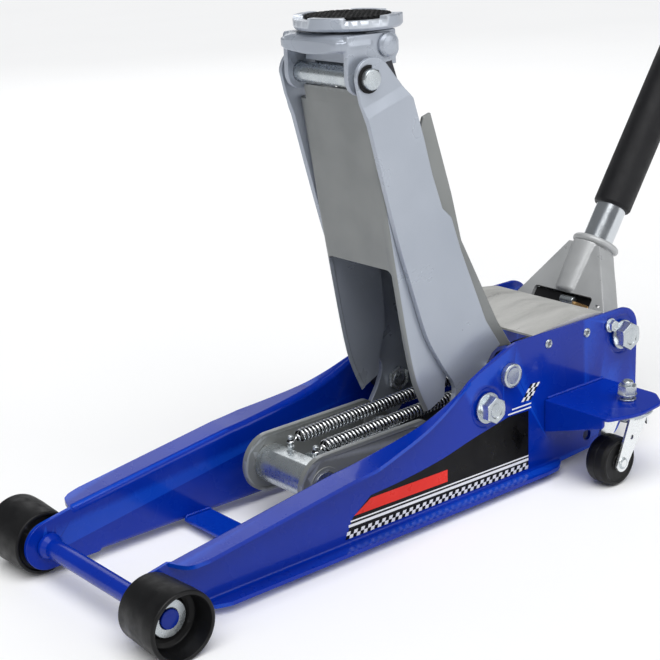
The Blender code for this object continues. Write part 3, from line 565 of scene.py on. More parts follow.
def plate_section(x, side):
    """The side plate's section at x: web, rounded bends and the two outward flanges."""
    low, high = span_at(PLATE, x)
    tall = (high - low) * 0.45
    sheet = min(SHEET, tall)
    top, foot = on_line(TOP_FLANGE, x), on_line(FOOT_FLANGE, x)
    bends = []
    for edge in (top, foot):
        inner = min(3.0, max(0.0, edge - WEB_OUT))
        inner = min(inner, max(0.0, tall - sheet))
        bends.append((inner, min(1 + 2 * inner, tall)))
    (top_in, top_out), (foot_in, foot_out) = bends
    points = [
        (top, high),
        *arc((WEB_IN + top_out, high - top_out), top_out, 90, 180, 6),
        *arc((WEB_IN + foot_out, low + foot_out), foot_out, 180, 270, 6),
        (foot, low),
        (foot, low + sheet),
        *arc((WEB_OUT + foot_in, low + sheet + foot_in), foot_in, 270, 180, 5),
        *arc((WEB_OUT + top_in, high - sheet - top_in), top_in, 180, 90, 5),
        (top, high - sheet),
    ]
    return [(x, y * side, z) for y, z in points]


def side_plate(label, side):
    stations = [-24.48 * cos(radians(t)) for t in range(0, 90, 8)]
    stations += [2.0 + 3.5 * i for i in range(178)]
    stations += [640 + 25.97 * sin(radians(t)) for t in range(-18, 91, 6)]
    stations = sorted({round(x, 3) for x in stations})
    plate = loft([plate_section(x, side) for x in stations])
    through = layer(WEB_IN - 5, WEB_OUT + 5, side)
    pressed = []
    for centre, wide, narrow in ((ARM_PIVOT, 23.5, 20.5), (YOKE_PIVOT, 24.0, 21.0)):
        dish = [(0, WEB_OUT + 4), (wide, WEB_OUT + 4), (wide, WEB_OUT)]
        dish += [(narrow, WEB_OUT - 1.5, 1.5), (0, WEB_OUT - 1.5)]
        pressed.append(turned(dish, centre, side=side, steps=96))
    holes = [
        rod(AXLE, 9.8, *through),
        rod(ARM_PIVOT, 9.3, *through),
        rod(BAR_FOOT, 8.3, *through),
        rod(YOKE_PIVOT, 12.3, *through),
        rod(COVER_BOLT, 4.3, *through, steps=32),
        rod((583.3, 27), 6.5, *through, steps=40),
    ]
    plate = cut(plate, together(*pressed), together(*holes))
    remade(f"side_plate_{label}", plate, "frame", "frame_blue", bevel=0.7)


def axle():
    half = [
        (9.5, 70, 2), (12.6, 75.5, 2), (13.4, 79.6, 1.2), (9.5, 79.7), (9.5, 117.9, 0.2),
        (8.9, 118.0), (8.9, 121.0), (9.5, 121.1, 0.2), (9.5, 122.5, 1.2), (0, 122.5),
    ]
    remade("front_axle", turned([*mirrored(half), *half], AXLE), "frame", "frame_blue")
    for label, side in SIDES:
        opening = 30
        outline = [
            *arc(AXLE, 17.5, 135 + opening, 495 - opening, 60),
            *arc(AXLE, 9.8, 495 - opening, 135 + opening, 60),
        ]
        ring = prism(outline, *layer(118.5, 120.5, side))
        remade(f"axle_ring_{label}", ring, "frame", "zinc_plate", bevel=0.5)


def welds():
    """Weld beads where brackets and straps meet the plates."""
    for label, side in SIDES:
        y = side * (WEB_OUT + 0.6)
        lines = [
            [(518, y, 87.6), (609, y, 87.6)],
            [(516.5, y, 84), (516.5, y, 54)],
            [(520, y, 82.6), (606, y, 82.6)],
        ]
        beads = [bead(line, 1.7) for line in lines]
        inner = side * (WEB_IN - 0.8)
        for x in (155.5, 186):
            beads.append(bead([(x, inner, 13), (x + 0.1, inner - side * 3, 13)], 1.4))
        beads.append(bead([(156, inner, 13.2), (186, inner, 13.2)], 1.7))
        beads.append(bead([(547, inner, 18.8), (624, inner, 18.8)], 1.7))
        piece(f"frame_welds_{label}", together(*beads), "frame", "frame_blue")


def caster_bracket(label, side):
    plan = [(513, SEAT), (513, 170, 6), (550, 183, 60), (592, 178, 18), (611, 156, 14)]
    plan = [(x, y * side) for x, y in rounded([*plan, (611, SEAT)], 14)]
    lip = rounded([(SEAT, 86), (SEAT, 50), (164, 74, 6), (164, 86)], 8)
    lip = [(y * side, z) for y, z in lip]
    shelf = join(prism(plan, 83, 87, "Z"), prism(lip, 513, 517, "X"))
    stem = (CASTER_STEM[0], CASTER_STEM[1] * side)
    shelf = cut(shelf, rod(stem, 6.3, 78, 92, "Z"))
    remade(f"caster_bracket_{label}", shelf, "frame", "frame_blue", bevel=1.3, segments=3)
    foot = [(0, 63), (9, 63, 2), (9, 69.5, 0.5), (6, 69.5), (6, 87.3), (9.5, 87.3, 0.4)]
    foot += [(9.5, 89.2, 0.8), (6.5, 90, 0.4), (6.2, 94.2), (0, 94.2)]
    parts = [
        turned(foot, stem, "Z"),
        turned([(0, 92.9), (10.4, 92.9, 0.4), (10.4, 94.2, 0.4), (0, 95)], stem, "Z"),
        hex_head(stem, 10.4, 94.0, 103.6, 1, axis="Z"),
        turned([(0, 102), (6.2, 102), (6.2, 107.4, 1.2), (4, 108.8, 1.0), (0, 108.9)], stem, "Z"),
    ]
    remade(f"caster_bolt_{label}", together(*parts), "frame", "zinc_plate", bevel=0.25)


def bolts(label, side):
    washer = [(16.5, SEAT), (16.5, 86.4, 0.7), (9, 86.5), (0, 86.5)]
    parts = [
        turned([(0, 47.5), (9, 47.5, 0.8), (9, SEAT), *washer], ARM_PIVOT, side=side),
        hex_head(ARM_PIVOT, 14.4, 86.2, 97.9, side, recess=0.8),
        hex_head(ARM_PIVOT, 13.9, 48, 52.6, side),
    ]
    remade(f"arm_pivot_bolt_{label}", together(*parts), "frame", "zinc_plate", bevel=0.3)
    parts = [
        turned([(0, 58), (12, 58, 0.8), (12, SEAT), *washer], YOKE_PIVOT, side=side),
        hex_head(YOKE_PIVOT, 15.9, 86.2, 97.9, side, recess=0.7),
    ]
    remade(f"yoke_bolt_{label}", together(*parts), "frame", "zinc_plate", bevel=0.3)
    shank = [(0, 73), (4, 73, 0.4), (4, SEAT), (8, SEAT), (8, 86.2, 0.5), (4, 86.3), (0, 86.3)]
    parts = [
        turned(shank, COVER_BOLT, side=side, steps=48),
        hex_head(COVER_BOLT, 6.7, 86.1, 91.9, side, recess=0.4),
    ]
    remade(f"frame_bolt_{label}", together(*parts), "frame", "zinc_plate", bevel=0.2)
    bush = [(9.3, 59.3), (17, 59.3, 0.8), (17, 79.7, 0.8), (9.3, 79.7)]
    bush = turned(bush, ARM_PIVOT, ring=True, side=side)
    remade(f"pivot_bush_{label}", bush, "frame", "dark_steel")
    for number, centre in enumerate(((519, 148), (580.3, 146.3))):
        ring = [(2.3, 83.8), (5.2, 83.8), (5.2, 84.9, 0.5), (3.6, 85.9, 0.8), (2.3, 85.2, 0.4)]
        # The dark disc at the bottom of the rivet's hollow is painted shade in the hole.
        hollow_shade_disc = [(0, 83.8), (2.4, 83.8), (2.4, 84.5), (0, 84.5)]
        ring = turned(ring, centre, ring=True, side=side, steps=40)
        hollow_shade_disc = turned(hollow_shade_disc, centre, side=side, steps=24)
        for face in hollow_shade_disc.faces:
            face.material_index = 1
        paint = [M["zinc_plate"], M["dark_steel"]]
        name = f"cover_rivet_{label}_{number}"
        piece(name, together(ring, hollow_shade_disc), "frame", "zinc_plate", paint=paint)


def levelling_pin():
    half = [(8, 84.3), (13, 84.3, 0.4), (13, 89.9, 0.9), (10.5, 90.5, 0.6), (8.5, 90.0, 0.6)]
    half += [(0, 90.2)]
    pin = turned([*mirrored(half), *half], BAR_FOOT)
    remade("levelling_pin", pin, "frame", "zinc_plate")


def decals(label, side):
    """Plain striped panel with a chequered flag, laid on the web; no lettering."""
    low = WEB_OUT - 0.1

    def panel(outline, thick):
        return prism(outline, *layer(low, WEB_OUT + thick, side))

    def strip(line, width, thick):
        outline = [*line, *[(x, z + width) for x, z in reversed(line)]]
        return panel(outline, thick)

    top = [(263.6, 53.7), (310, 56.8), (360.2, 63.1), (403.7, 72.4), (457.7, 82.2)]
    top = smooth_line(top, 5)
    black = [(229, 17.2), (239.5, 37.4), *top, (488.3, 81.3), (488.3, 15.2)]
    black = panel(black, 0.10)
    flag_black = []
    flag_white = []
    corner, across, up = Vector((477.2, 93.4)), Vector((3.6, -0.25)), Vector((3.6, 4.15))
    for row in range(4):
        for column in range(4):
            at = corner + across * column + up * row
            cell = [at, at + across, at + across + up, at + up]
            target = flag_black if (row + column) % 2 else flag_white
            target.append(panel([tuple(point) for point in cell], 0.14))
    wide, tall, count = 4.6, 3.7, 56
    for row in range(2):
        for column in range(count):
            x = 229.5 + wide * column
            z = 17.3 + tall * row - 2.0 * column / count
            lean = 1.2
            cell = [(x, z), (x + wide, z), (x + wide + lean, z + tall), (x + lean, z + tall)]
            cell = [(a + lean * row, b) for a, b in cell]
            if (row + column) % 2:
                flag_white.append(panel(cell, 0.14))
    white = [
        strip([(236.8, 33.6), (488.3, 29.2)], 1.5, 0.14),
        strip([(234.0, 28.6), (488.3, 24.4)], 2.9, 0.14),
        strip([(463.0, 88.0), (492.2, 87.8)], 1.5, 0.14),
        strip([(457.0, 83.8), (492.2, 83.4)], 1.5, 0.14),
        *flag_white,
    ]
    red = panel([(241.5, 39.0), (263.5, 51.1), (367.7, 49.6), (367.5, 36.5)], 0.14)
    black = together(black, *flag_black)
    piece(f"decal_panel_{label}", black, "frame", "frame_blue", paint=[DECAL["black"]])
    piece(f"decal_lines_{label}", together(*white), "frame", "frame_blue", paint=[DECAL["white"]])
    piece(f"decal_bar_{label}", red, "frame", "frame_blue", paint=[DECAL["red"]])


RAM = (0, 58)  # the ram's line, (y, z)


def hydraulics():
    refined("hydraulic_block", "frame", "dark_steel", bevel=1.6, segments=3)
    refined("spring_anchor", "frame", "dark_steel", bevel=0.8)
    tube = [(17.3, 364), (27, 364, 1.2), (27, 372, 0.3), (26.4, 372.6, 0.3), (26.4, 552, 0.3)]
    tube += [(27, 552.6, 0.3), (27, 560, 1.2), (0, 560), (0, 552), (17.3, 552)]
    tube = turned(tube, RAM, "X", 96, ring=True)
    remade("ram_cylinder", tube, "frame", "dark_steel")
    gland = [(17.3, 354), (24, 354, 0.8), (29, 357, 0.8), (29, 363.7, 0.8), (17.3, 363.7)]
    gland = turned(gland, RAM, "X", 96, ring=True)
    remade("gland_nut", gland, "frame", "zinc_plate")
    tip = (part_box("pump_plunger")[1].x - AXLE_X) * 1000
    plunger = [(0, 598), (9, 598, 0.5), (9, tip - 2, 0.8), (6, tip, 0.8), (0, tip)]
    plunger = turned(plunger, (0, 108), "X")
    remade("pump_plunger", plunger, "pump_plunger", "zinc_plate")
    valve = [(0, 606), (6, 606), (6, 622, 0.3), (8.5, 622, 0.6), (8.5, 634, 1), (5, 634, 0.4)]
    valve += [(5, 648, 0.8), (0, 648)]
    valve = turned(valve, (0, 72), "X")
    remade("release_valve", valve, "release_valve", "brass")


# -------------------- ram, links and springs


def crosshead():
    radius, flat = 20, 18.5
    opening = degrees(acos(flat / radius))
    bar = arc(LINK_PIVOT, radius, 90 + opening, 450 - opening, 64)
    head = prism(bar, -40.7, 40.7)
    pins = turned([(0, -47), (14, -47, 1), (14, 47, 1), (0, 47)], LINK_PIVOT)
    parts = [head, pins]
    for _, side in SIDES:
        stud = [(0, 77), (3.0, 77), (3.0, 80, 0.8), (2.0, 81, 0.8), (2.0, 86.5, 0.8)]
        stud += [(3.1, 88.2, 1.0), (2.9, 91.4, 1.4), (0, 91.8)]
        nut = [(0, 78.6), (4.6, 78.6, 0.3), (4.2, 80.4, 0.5), (0, 80.6)]
        parts.append(turned(stud, (249, 20 * side), "Z", 32))
        parts.append(turned(nut, (249, 20 * side), "Z", 6))
    remade("crosshead", together(*parts), "ram", "zinc_plate", bevel=0.5)
    rear_face = LINK_PIVOT[0] + radius + 0.3
    rod_shape = [(0, rear_face), (17, rear_face, 1), (17, 450, 1), (0, 450)]
    rod_shape = turned(rod_shape, RAM, "X", 96)
    remade("ram_rod", rod_shape, "ram", "zinc_plate")


def link(label, side):
    front = [(207, 29.5, 30.9), (207, 91.5, 30.9)]
    rear = [(372, 93, 16), (410, 62, 16), (410, 10.7, 25.8), (358, 10.7, 20), (300, 29.5, 40)]
    outline = rounded([*front, *rear], 16)
    plate = prism(outline, *layer(41, 47, side))
    dish = [(210.5, 33, 27), (210.5, 88, 27), (368, 89.2, 13), (366, 34, 10), (300, 33.5, 38)]
    dish = rounded(dish, 14)
    recesses = [prism(dish, *layer(*depth, side)) for depth in ((40, 41.9), (46.1, 48))]
    plate = cut(plate, *recesses)
    hub = [(14.3, 41), (19, 41, 0.6), (19, 47, 0.6), (14.3, 47)]
    plate = join(plate, turned(hub, LINK_PIVOT, ring=True, side=side))
    through = layer(36, 52, side)
    plate = cut(plate, rod(LINK_PIVOT, 14.3, *through), rod((383.9, 36.7), 19, *through))
    remade(f"link_{label}", plate, "links", "arm_grey", bevel=1.1, segments=3)


def spring(label, side):
    """Coil spring with a front loop round the stud on the crosshead."""
    start, end = Vector((257, 20 * side, 87.6)), Vector((476.6, 20 * side, 94.9))
    way = (end - start).normalized()
    across = way.cross(Vector((0, 0, 1))).normalized()
    up = across.cross(way)
    coil_r, wire_r, turns, steps = 6.0, 1.25, 46, 20
    points = []
    loop_centre = Vector((249, 20 * side, 85.0))
    for i in range(13):
        a = radians(60 + 240 * i / 12)
        points.append(loop_centre + Vector((cos(a) * 3.2, sin(a) * 3.2, (i - 6) * 0.05)))
    points.append(start + way * -1.5 - up * 1.5)
    total = turns * steps
    for i in range(total + 1):
        a = tau * i / steps
        share = i / total
        swell = min(1.0, 0.35 + share * 40, 0.35 + (1 - share) * 40)
        centre = start.lerp(end, share)
        points.append(centre + (up * cos(a) + across * sin(a)) * coil_r * swell)
    sections = []
    last_side = None
    for i, point in enumerate(points):
        ahead = points[min(i + 1, len(points) - 1)]
        behind = points[max(i - 1, 0)]
        tangent = (ahead - behind).normalized()
        if last_side is None:
            last_side = tangent.orthogonal().normalized()
        last_side = (last_side - tangent * last_side.dot(tangent)).normalized()
        other = tangent.cross(last_side)
        sections.append(ring_round(point, last_side, other, wire_r, 8))
    name = f"return_spring_{label}"
    bm = loft(sections)
    for face in bm.faces:
        outward = face.calc_center_median() - start
        outward -= way * outward.dot(way)
        face.material_index = int(face.normal.dot(outward) < 0)
    made = smooth_object(f"{name}_made", bm, M["spring_steel"], SPRING_SHADE)
    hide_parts(name)
    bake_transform(made)


# -------------------- lifting arm
CRANK_REACH, CRANK_ANGLE = 70, radians(-127)
CRANK_PIN = (
    ARM_PIVOT[0] + CRANK_REACH * cos(CRANK_ANGLE),
    ARM_PIVOT[1] + CRANK_REACH * sin(CRANK_ANGLE),
)


def arm_plate(label, side):
    top = [(280.5, 469, 18), (317, 469, 18), (345.5, 436, 7)]
    rear = [(355, 426, 6), (367.7, 386), (378, 349), (391, 313), (403, 302, 8), (416, 265.5)]
    heel = [(451, 184), (472, 153), (459, 146)]
    lobe = arc(ARM_PIVOT, 30, 54, -60, 24)
    crank = arc(CRANK_PIN, 17, -40, -220, 24)
    front = [(398, 98), (405, 121.6), (386, 152), (367, 185)]
    front += [(349, 236), (332, 287), (316, 343), (299, 406)]
    front = smooth_line(front, 4)
    outline = rounded([*top, *rear, *heel, *lobe, *crank, *front, (290, 428, 14)], 12)
    plate = prism(outline, *layer(53, 59, side))
    holes = [
        rod(ARM_PIVOT, 9.3, *layer(48, 64, side)),
        rod(SADDLE_PIVOT, 10.3, *layer(48, 64, side)),
        rod(CRANK_PIN, 9.3, *layer(48, 64, side)),
    ]
    plate = cut(plate, together(*holes))
    along = Vector((-0.30, 0, 0.954)).normalized()
    low_line, high_line = Vector((315, 0, 419)), Vector((313, 0, 430))
    for line in (low_line, high_line):
        geom = [*plate.verts, *plate.edges, *plate.faces]
        bmesh.ops.bisect_plane(plate, geom=geom, plane_co=line, plane_no=along)
    run = (high_line - low_line).dot(along)
    for vert in plate.verts:
        if abs(vert.co.y) > 58.5:
            share = (vert.co - low_line).dot(along) / run
            vert.co.y -= side * 1.9 * min(1.0, max(0.0, share))
    remade(f"arm_plate_{label}", plate, "arm", "arm_silver", bevel=0.9, segments=3, angle=8)
    pin = [(0, 40.5), (9, 40.5, 0.8), (9, 59.3), (13, 59.3, 0.5), (13, 63, 0.8), (0, 63)]
    remade(f"crank_pin_{label}", turned(pin, CRANK_PIN, side=side), "arm", "zinc_plate")
    outline = [*arc(SADDLE_PIVOT, 13.2, 75, 395, 48), *arc(SADDLE_PIVOT, 10.1, 395, 75, 48)]
    clip = prism(outline, *layer(57.2, 58.9, side))
    piece(f"saddle_pin_clip_{label}", clip, "arm", "black_rubber", bevel=0.3)


DEPTH = [(102, 28), (124, 44), (155, 60), (190, 64), (259, 70), (341, 56), (388, 40)]
DEPTH += [(405, 13), (423, 9)]


def arm_channels():
    """Front channel with rounded bends, cut away at its foot, and the darker rear channel."""
    edge = smooth_line([(303.6, 423), (316.5, 341), (330, 258.5), (350.5, 150.5), (370, 102)], 6)
    sections = []
    for (x, z), (x0, z0), (x1, z1) in zip(edge, [edge[0], *edge], [*edge[1:], edge[-1]]):
        run = Vector((x1 - x0, z1 - z0)).normalized()
        inward = Vector((-run.y, run.x))
        if inward.x < 0:
            inward = -inward
        deep = on_line(DEPTH, z)
        outer_r, inner_r, sheet, span = 7.5, 3.5, 4.0, 52.5
        flat = span - outer_r
        half = [(span, deep), *arc((flat, outer_r), outer_r, 0, -90, 6)]
        inside = [*arc((flat, outer_r), inner_r, -90, 0, 6), (span - sheet, deep)]
        loop = [*half, *[(-y, d) for y, d in reversed([*inside, *half])], *inside]
        sections.append([(x + inward.x * d, y, z + inward.y * d) for y, d in loop])
    channel = loft(sections)
    gap = rounded([(-47.4, 259, 6), (47.4, 259, 6), (47.4, 60), (-47.4, 60)], 6)
    channel = cut(channel, prism(gap, 300, 412, "X"))
    tongue = [(303.8, 422), (301.4, 437.4), (305.4, 438), (307.8, 422.4)]
    channel = join(channel, prism(tongue, -39.5, 39.5))
    # Faces that look along y take the arm silver, the rest the arm grey: a painted highlight that
    # makes the channel's sideways faces as light as the lit arm plates, while its front web stays
    # darker.
    channel.normal_update()
    for face in channel.faces:
        face.material_index = int(abs(face.normal.y) > 0.8)
    paint = [M["arm_grey"], M["arm_silver"]]
    remade("arm_front_channel", channel, "arm", "arm_grey", bevel=0.5, paint=paint)
    refined("arm_back_channel", "arm", "arm_grey", bevel=1.6, segments=3)
    pin = [(0, -64), (10, -64, 1.3), (10, 64, 1.3), (0, 64)]
    pin = turned(pin, SADDLE_PIVOT)
    remade("saddle_pivot_pin", pin, "arm", "zinc_plate")


# -------------------- saddle
SADDLE_X, SADDLE_TOP = 326.4, 504.7


def saddle_bracket():
    def shell(level, inset):
        corners = [(274 + inset, -48 + inset, 15), (316, -48 + inset, 3)]
        corners += [(316, 48 - inset, 3), (274 + inset, 48 - inset, 15)]
        return [(x, y, level) for x, y in rounded(corners, 8)]

    levels = ((474, 2.5), (477, 0.8), (480, 0), (483.5, 0.6), (486.5, 2.6), (488.6, 6), (489.8, 11))
    cap = loft([shell(level, inset) for level, inset in levels])
    skirt = [(-48, 484), (-48, 476, 3), (-36, 473.4, 20), (0, 471.2, 80), (36, 473.4, 20)]
    skirt += [(48, 476, 3), (48, 484)]
    front = []
    for x, half in ((274, 34.5), (276, 40.5), (279, 44.2), (281, 45.7), (285, 47.5)):
        front.append([(x, y * half / 48, z) for y, z in rounded(skirt, 8)])
    parts = [cap, loft(front), block((300, -33, 462), (357.5, 33, 489.8))]
    parts.append(block((311, -33, 456.5), (357.5, 33, 470)))
    ear = [(283.6, 489.4, 3), (283.6, 433.2, 16.7), (316.8, 433.2, 16.7), (330, 461.7, 6)]
    ear = rounded([*ear, (348.7, 461.7, 13.5), (348.7, 489.4, 12)], 12)
    for _, side in SIDES:
        parts.append(prism(ear, *layer(41, 47, side)))
    bracket = cast(together(*parts), voxel=1.0, rounds=4)
    reach = 60
    bracket = cut(
        bracket,
        rod((SADDLE_X, 0), 10.3, 455, 495, "Z"),
        rod(SADDLE_PIVOT, 10.3, -reach, reach),
        *[rod(BAR_HEAD, 6.3, *layer(33.5, reach, side)) for _, side in SIDES],
    )
    remade("saddle_bracket", bracket, "bracket", "arm_silver")
    for label, side in SIDES:
        bolt = [(0, 33.3), (6, 33.3, 0.4), (6, 47.3), (11.5, 47.3, 0.4), (11.3, 49.4, 1.2)]
        bolt += [(8.5, 51.6, 2.5), (4, 52.3, 2), (0, 52.4)]
        bolt = turned(bolt, BAR_HEAD, side=side)
        paint = [M["arm_silver"]]
        remade(f"levelling_bolt_{label}", bolt, "bracket", "zinc_plate", paint=paint)


def saddle():
    centre = (SADDLE_X, 0)
    profile = [
        (0, 463), (10, 463, 0.8), (10, 490.3), (22, 490.3), (22, 492.3, 0.6), (50.3, 492.3, 1.2),
        (52.4, 494.8, 1.6), (52.4, SADDLE_TOP, 1.4), (43.4, SADDLE_TOP, 0.8), (42.2, 500.0, 0.4),
        (0, 500.0),
    ]
    body = turned(profile, centre, "Z", 120)
    notches = []
    for lug in (24, 114, 204, 294):
        start, end = lug + 21, lug + 69
        outline = [*arc(centre, 56, start, end, 16), *arc(centre, 40, end, start, 16)]
        notches.append(prism(outline, SADDLE_TOP - 2.9, SADDLE_TOP + 3, "Z"))
    body = cut(body, together(*notches))
    remade("saddle", body, "saddle", "arm_silver", bevel=0.5)
    pad = rod(centre, 41.5, 500.3, SADDLE_TOP - 0.2, "Z", 96)
    long, wide, low, high = 45, 1.1, 502.6, 507
    spots = [k * 6.4 + 3.2 for k in range(-6, 7)]
    rows = [
        block((SADDLE_X - long, at - wide, low), (SADDLE_X + long, at + wide, high))
        for at in spots
    ]
    pad = cut(pad, together(*rows))
    rows = [
        block((SADDLE_X + at - wide, -long, low), (SADDLE_X + at + wide, long, high))
        for at in spots
    ]
    pad = cut(pad, together(*rows))
    remade("saddle_pad", pad, "saddle", "black_rubber", bevel=0.35)


# -------------------- wheels and casters


def front_wheel(label, side):
    profile = [
        (9.8, 88), (20, 88, 0.5), (21, 90, 1), (27, 90, 1), (28, 88, 0.5), (31, 88, 1.6),
        (33, 128, 8), (33, 143, 2.0), (28.9, 143, 1.1), (27.6, 119.5, 2.5), (23, 117.4, 1.5),
        (19.5, 117.0, 0.8), (18.5, 118.2, 0.4), (9.8, 118.2),
    ]
    wheel = turned(profile, AXLE, steps=128, ring=True, side=side)
    remade(f"front_wheel_{label}", wheel, f"front_wheel_{label}", "wheel_black")


def caster(label, side):
    middle = CASTER_STEM[1] * side
    stem = (CASTER_STEM[0], middle)
    race = [
        (5, 70), (20, 70, 2), (24.5, 73.4, 1.5), (27.5, 75.4, 1.4), (27.5, 77.9, 1.2),
        (25.6, 78.6, 0.4), (25.6, 79.4, 0.4), (27.4, 80.0, 0.8), (27.4, 82.7, 0.9), (5, 82.7),
    ]
    race = turned(race, stem, "Z", 96, ring=True)
    leg = rounded([(590, 74, 2), (559, 74, 2), *arc(CASTER_AXLE, 9.5, 190, 350, 20)], 8)
    legs = [prism(leg, *layer(*sheet, side)) for sheet in ((128.8, 131.4), (160.6, 163.2))]
    arch = []
    for k in range(13):
        a = radians(180 * k / 12)
        arch.append((middle + 14.9 * cos(a), 60.5 + 8.6 * sin(a)))
    outline = [(middle + 17.2, 60), (middle + 17.2, 71.5)]
    outline += [(middle - 17.2, 71.5), (middle - 17.2, 60), *reversed(arch)]
    crown = prism(outline, 586.5, 589.5, "X")
    roof = block((560, middle - 16.8, 70.3), (589.5, middle + 16.8, 73.5))
    fork = join(legs[0], legs[1], roof, race)
    bolt = rod(CASTER_AXLE, 4, *layer(127, 165, side), steps=40)
    hole = rod((562, 52), 2.6, *layer(160, 166, side), steps=32)
    fork = cut(fork, rod(stem, 6.3, 66, 90, "Z"), hole)
    rivets = []
    for seat, top in ((163.0, 165.0), (129.0, 127.0)):
        dimple = top - (top - seat) * 0.3
        rivet = [(0, seat), (6.4, seat), (6.4, (seat + top) / 2, 0.5), (3.6, top, 0.8)]
        rivet += [(1.8, dimple, 0.4), (0, dimple)]
        rivets.append(turned(rivet, CASTER_AXLE, side=side, steps=48))
    fork = together(fork, bolt, crown, *rivets)
    remade(f"caster_fork_{label}", fork, f"caster_{label}", "zinc_plate", bevel=0.5)
    half = [(4.3, 13, 0.3), (9, 13, 0.5), (10, 12, 0.5), (20.5, 12, 0.8), (22, 13, 0.8)]
    half += [(24.3, 12.8, 1.5), (26.3, 8.5, 4), (26.5, 0.7, 0.2)]
    profile = [*half, (26.2, 0), *mirrored(half)]
    profile = [(r, CASTER_STEM[1] + along, *rest) for r, along, *rest in profile]
    wheel = turned(profile, CASTER_AXLE, steps=112, ring=True, side=side)
    remade(f"caster_wheel_{label}", wheel, f"caster_wheel_{label}", "wheel_black")


# -------------------- yoke and handle
LEAN = radians(34.5)
UPRIGHT = Matrix.Translation((YOKE_PIVOT[0], 0, YOKE_PIVOT[1])) @ Matrix.Rotation(LEAN, 4, "Y")
ROLLER = (24 * sin(radians(40)), -24 * cos(radians(40)))


def yoke():
    """Cast handle socket, drawn upright about its pivot; its front faces -x."""
    neck = [(0, 44), (20.5, 44), (22.6, 88, 2), (22.6, 94), (0, 94)]
    parts = [turned(neck, (0, 0), "Z", 96)]
    face = [(-65.3, 7, 2), (-65.3, 14, 5), (-20, 86.5, 3)]
    face += [(20, 86.5, 3), (65.3, 14, 5), (65.3, 7, 2)]
    parts.append(prism(rounded(face, 6), -20.3, -16.0, "X"))
    rib = []
    for z, radius, proud in ((28, 12.5, 3.5), (31, 14.0, 5.6), (60, 15.0, 6.0), (90, 16.5, 6.4)):
        half = [radians(180 * k / 16) for k in range(17)]
        ring = [(-18 - (2 + proud) * sin(a), radius * cos(a), z) for a in half]
        rib.append([*ring, (-12, -radius, z), (-12, radius, z)])
    parts.append(loft(rib))
    for _, side in SIDES:
        cheek = []
        for z, outer, rear in ((-4, 66, 13), (13, 66, 13), (88, 22.5, 11)):
            inner = outer - 6
            corners = ((-20, inner), (-20, outer), (rear, outer), (rear, inner))
            cheek.append([(x, y * side, z) for x, y in corners])
        parts.append(loft(cheek))
        lug = [*arc((0, 0), 18, 190, -10, 24), *arc(ROLLER, 9, -20, -160, 16)]
        parts.append(prism(lug, *layer(60, 66, side)))
    body = cast(together(*parts), voxel=0.9, rounds=2)
    body = join(body, turned(circle((23.4, 94.4), 4.1, 20), (0, 0), "Z", 96, ring=True))
    window = rounded([(-43, 9, 4), (-43, 27, 4), (43, 27, 4), (43, 9, 4)], 8)
    slot = rounded([(50.5, 17.5, 1), (50.5, 20.5, 1), (56.5, 20.5, 1), (56.5, 17.5, 1)], 4)
    body = cut(
        body,
        prism(window, -30, -12, "X"),
        prism([(-y, z) for y, z in slot], -27, -12, "X"),
        rod((0, 0), 17.8, 38, 110, "Z"),
        rod((0, 0), 12.3, -80, 80),
        rod(ROLLER, 4.3, -80, 80, steps=32),
    )
    remade("yoke_socket", moved(body, UPRIGHT), "yoke", "yoke_silver")
    half = [(8, 12, 0.8), (4, 12), (4, 66, 0.6), (0, 66)]
    roller = moved(turned([*mirrored(half), *half], ROLLER, steps=64), UPRIGHT)
    remade("yoke_roller", roller, "yoke", "zinc_plate")


def handle_piece(name, profile, slot, ring=True):
    bm = moved(turned(profile, (0, 0), "Z", 96, ring=ring), UPRIGHT)
    remade(name, bm, "handle", slot)


def handle():
    tube = [(15.6, 50, 0.3), (17.5, 50, 0.5), (17.5, 560, 1.0), (15.6, 560, 0.5)]
    handle_piece("handle_lower_tube", tube, "tube_silver")
    upper = [(0, 470), (15.3, 470, 1), (15.3, 992, 1), (0, 992)]
    handle_piece("handle_upper_tube", upper, "tube_silver", ring=False)
    sleeve = [(17.8, 142), (20.4, 142, 1), (22, 145, 2), (22, 517, 2), (20.4, 520, 1), (17.8, 520)]
    handle_piece("foam_sleeve", sleeve, "foam_sleeve")
    grip = [(15.6, 850), (18, 850, 0.8), (19, 852.5, 0.8)]
    for k in range(13):
        at = 862 + k * 9.5
        grip += [(19, at, 0.6), (18.1, at + 0.9, 0.5), (18.1, at + 2.1, 0.5), (19, at + 3.0, 0.6)]
    grip += [(19, 997, 2.6), (16, 1000, 2), (0, 1000), (0, 995), (15.6, 995)]
    handle_piece("handle_grip", grip, "black_rubber")
    dog = [(0, 14), (9, 14, 1), (9, 34, 1), (14, 36, 1), (14, 49.5, 1), (0, 49.5)]
    handle_piece("release_dog", dog, "brass", ring=False)


def window_parts():
    """Rubber stop, brass catch and pin in the yoke's window, and a black sheet behind them: painted
    shade that fills the window.
    """
    # A flat black sheet behind the window: painted shade standing in for the dark inside of the
    # yoke.
    back = block((-10.6, -44, 7), (-9.7, 44, 29.5))
    piece("yoke_window_shade_sheet", moved(back, UPRIGHT), "yoke", "black_rubber")
    stop = rounded([(4, 9.5, 2), (4, 26, 2), (43, 26, 2), (43, 9.5, 2)], 6)
    stop = prism(stop, -16.2, -10.4, "X")
    piece("yoke_window_stop", moved(stop, UPRIGHT), "yoke", "black_rubber", bevel=0.8)
    catch = rounded([(-38, 9.5, 2), (-38, 18, 4), (-12, 20, 4), (-12, 9.5, 2)], 6)
    catch = moved(prism(catch, -15, -10.4, "X"), UPRIGHT)
    piece("yoke_window_catch", catch, "yoke", "brass", bevel=0.8)
    pin = turned([(0, -16, 0), (4.6, -16, 1.2), (4.6, 3, 1.2), (0, 3, 0)], (-15.2, 19.5), steps=48)
    piece("yoke_window_pin", moved(pin, UPRIGHT), "yoke", "zinc_plate")


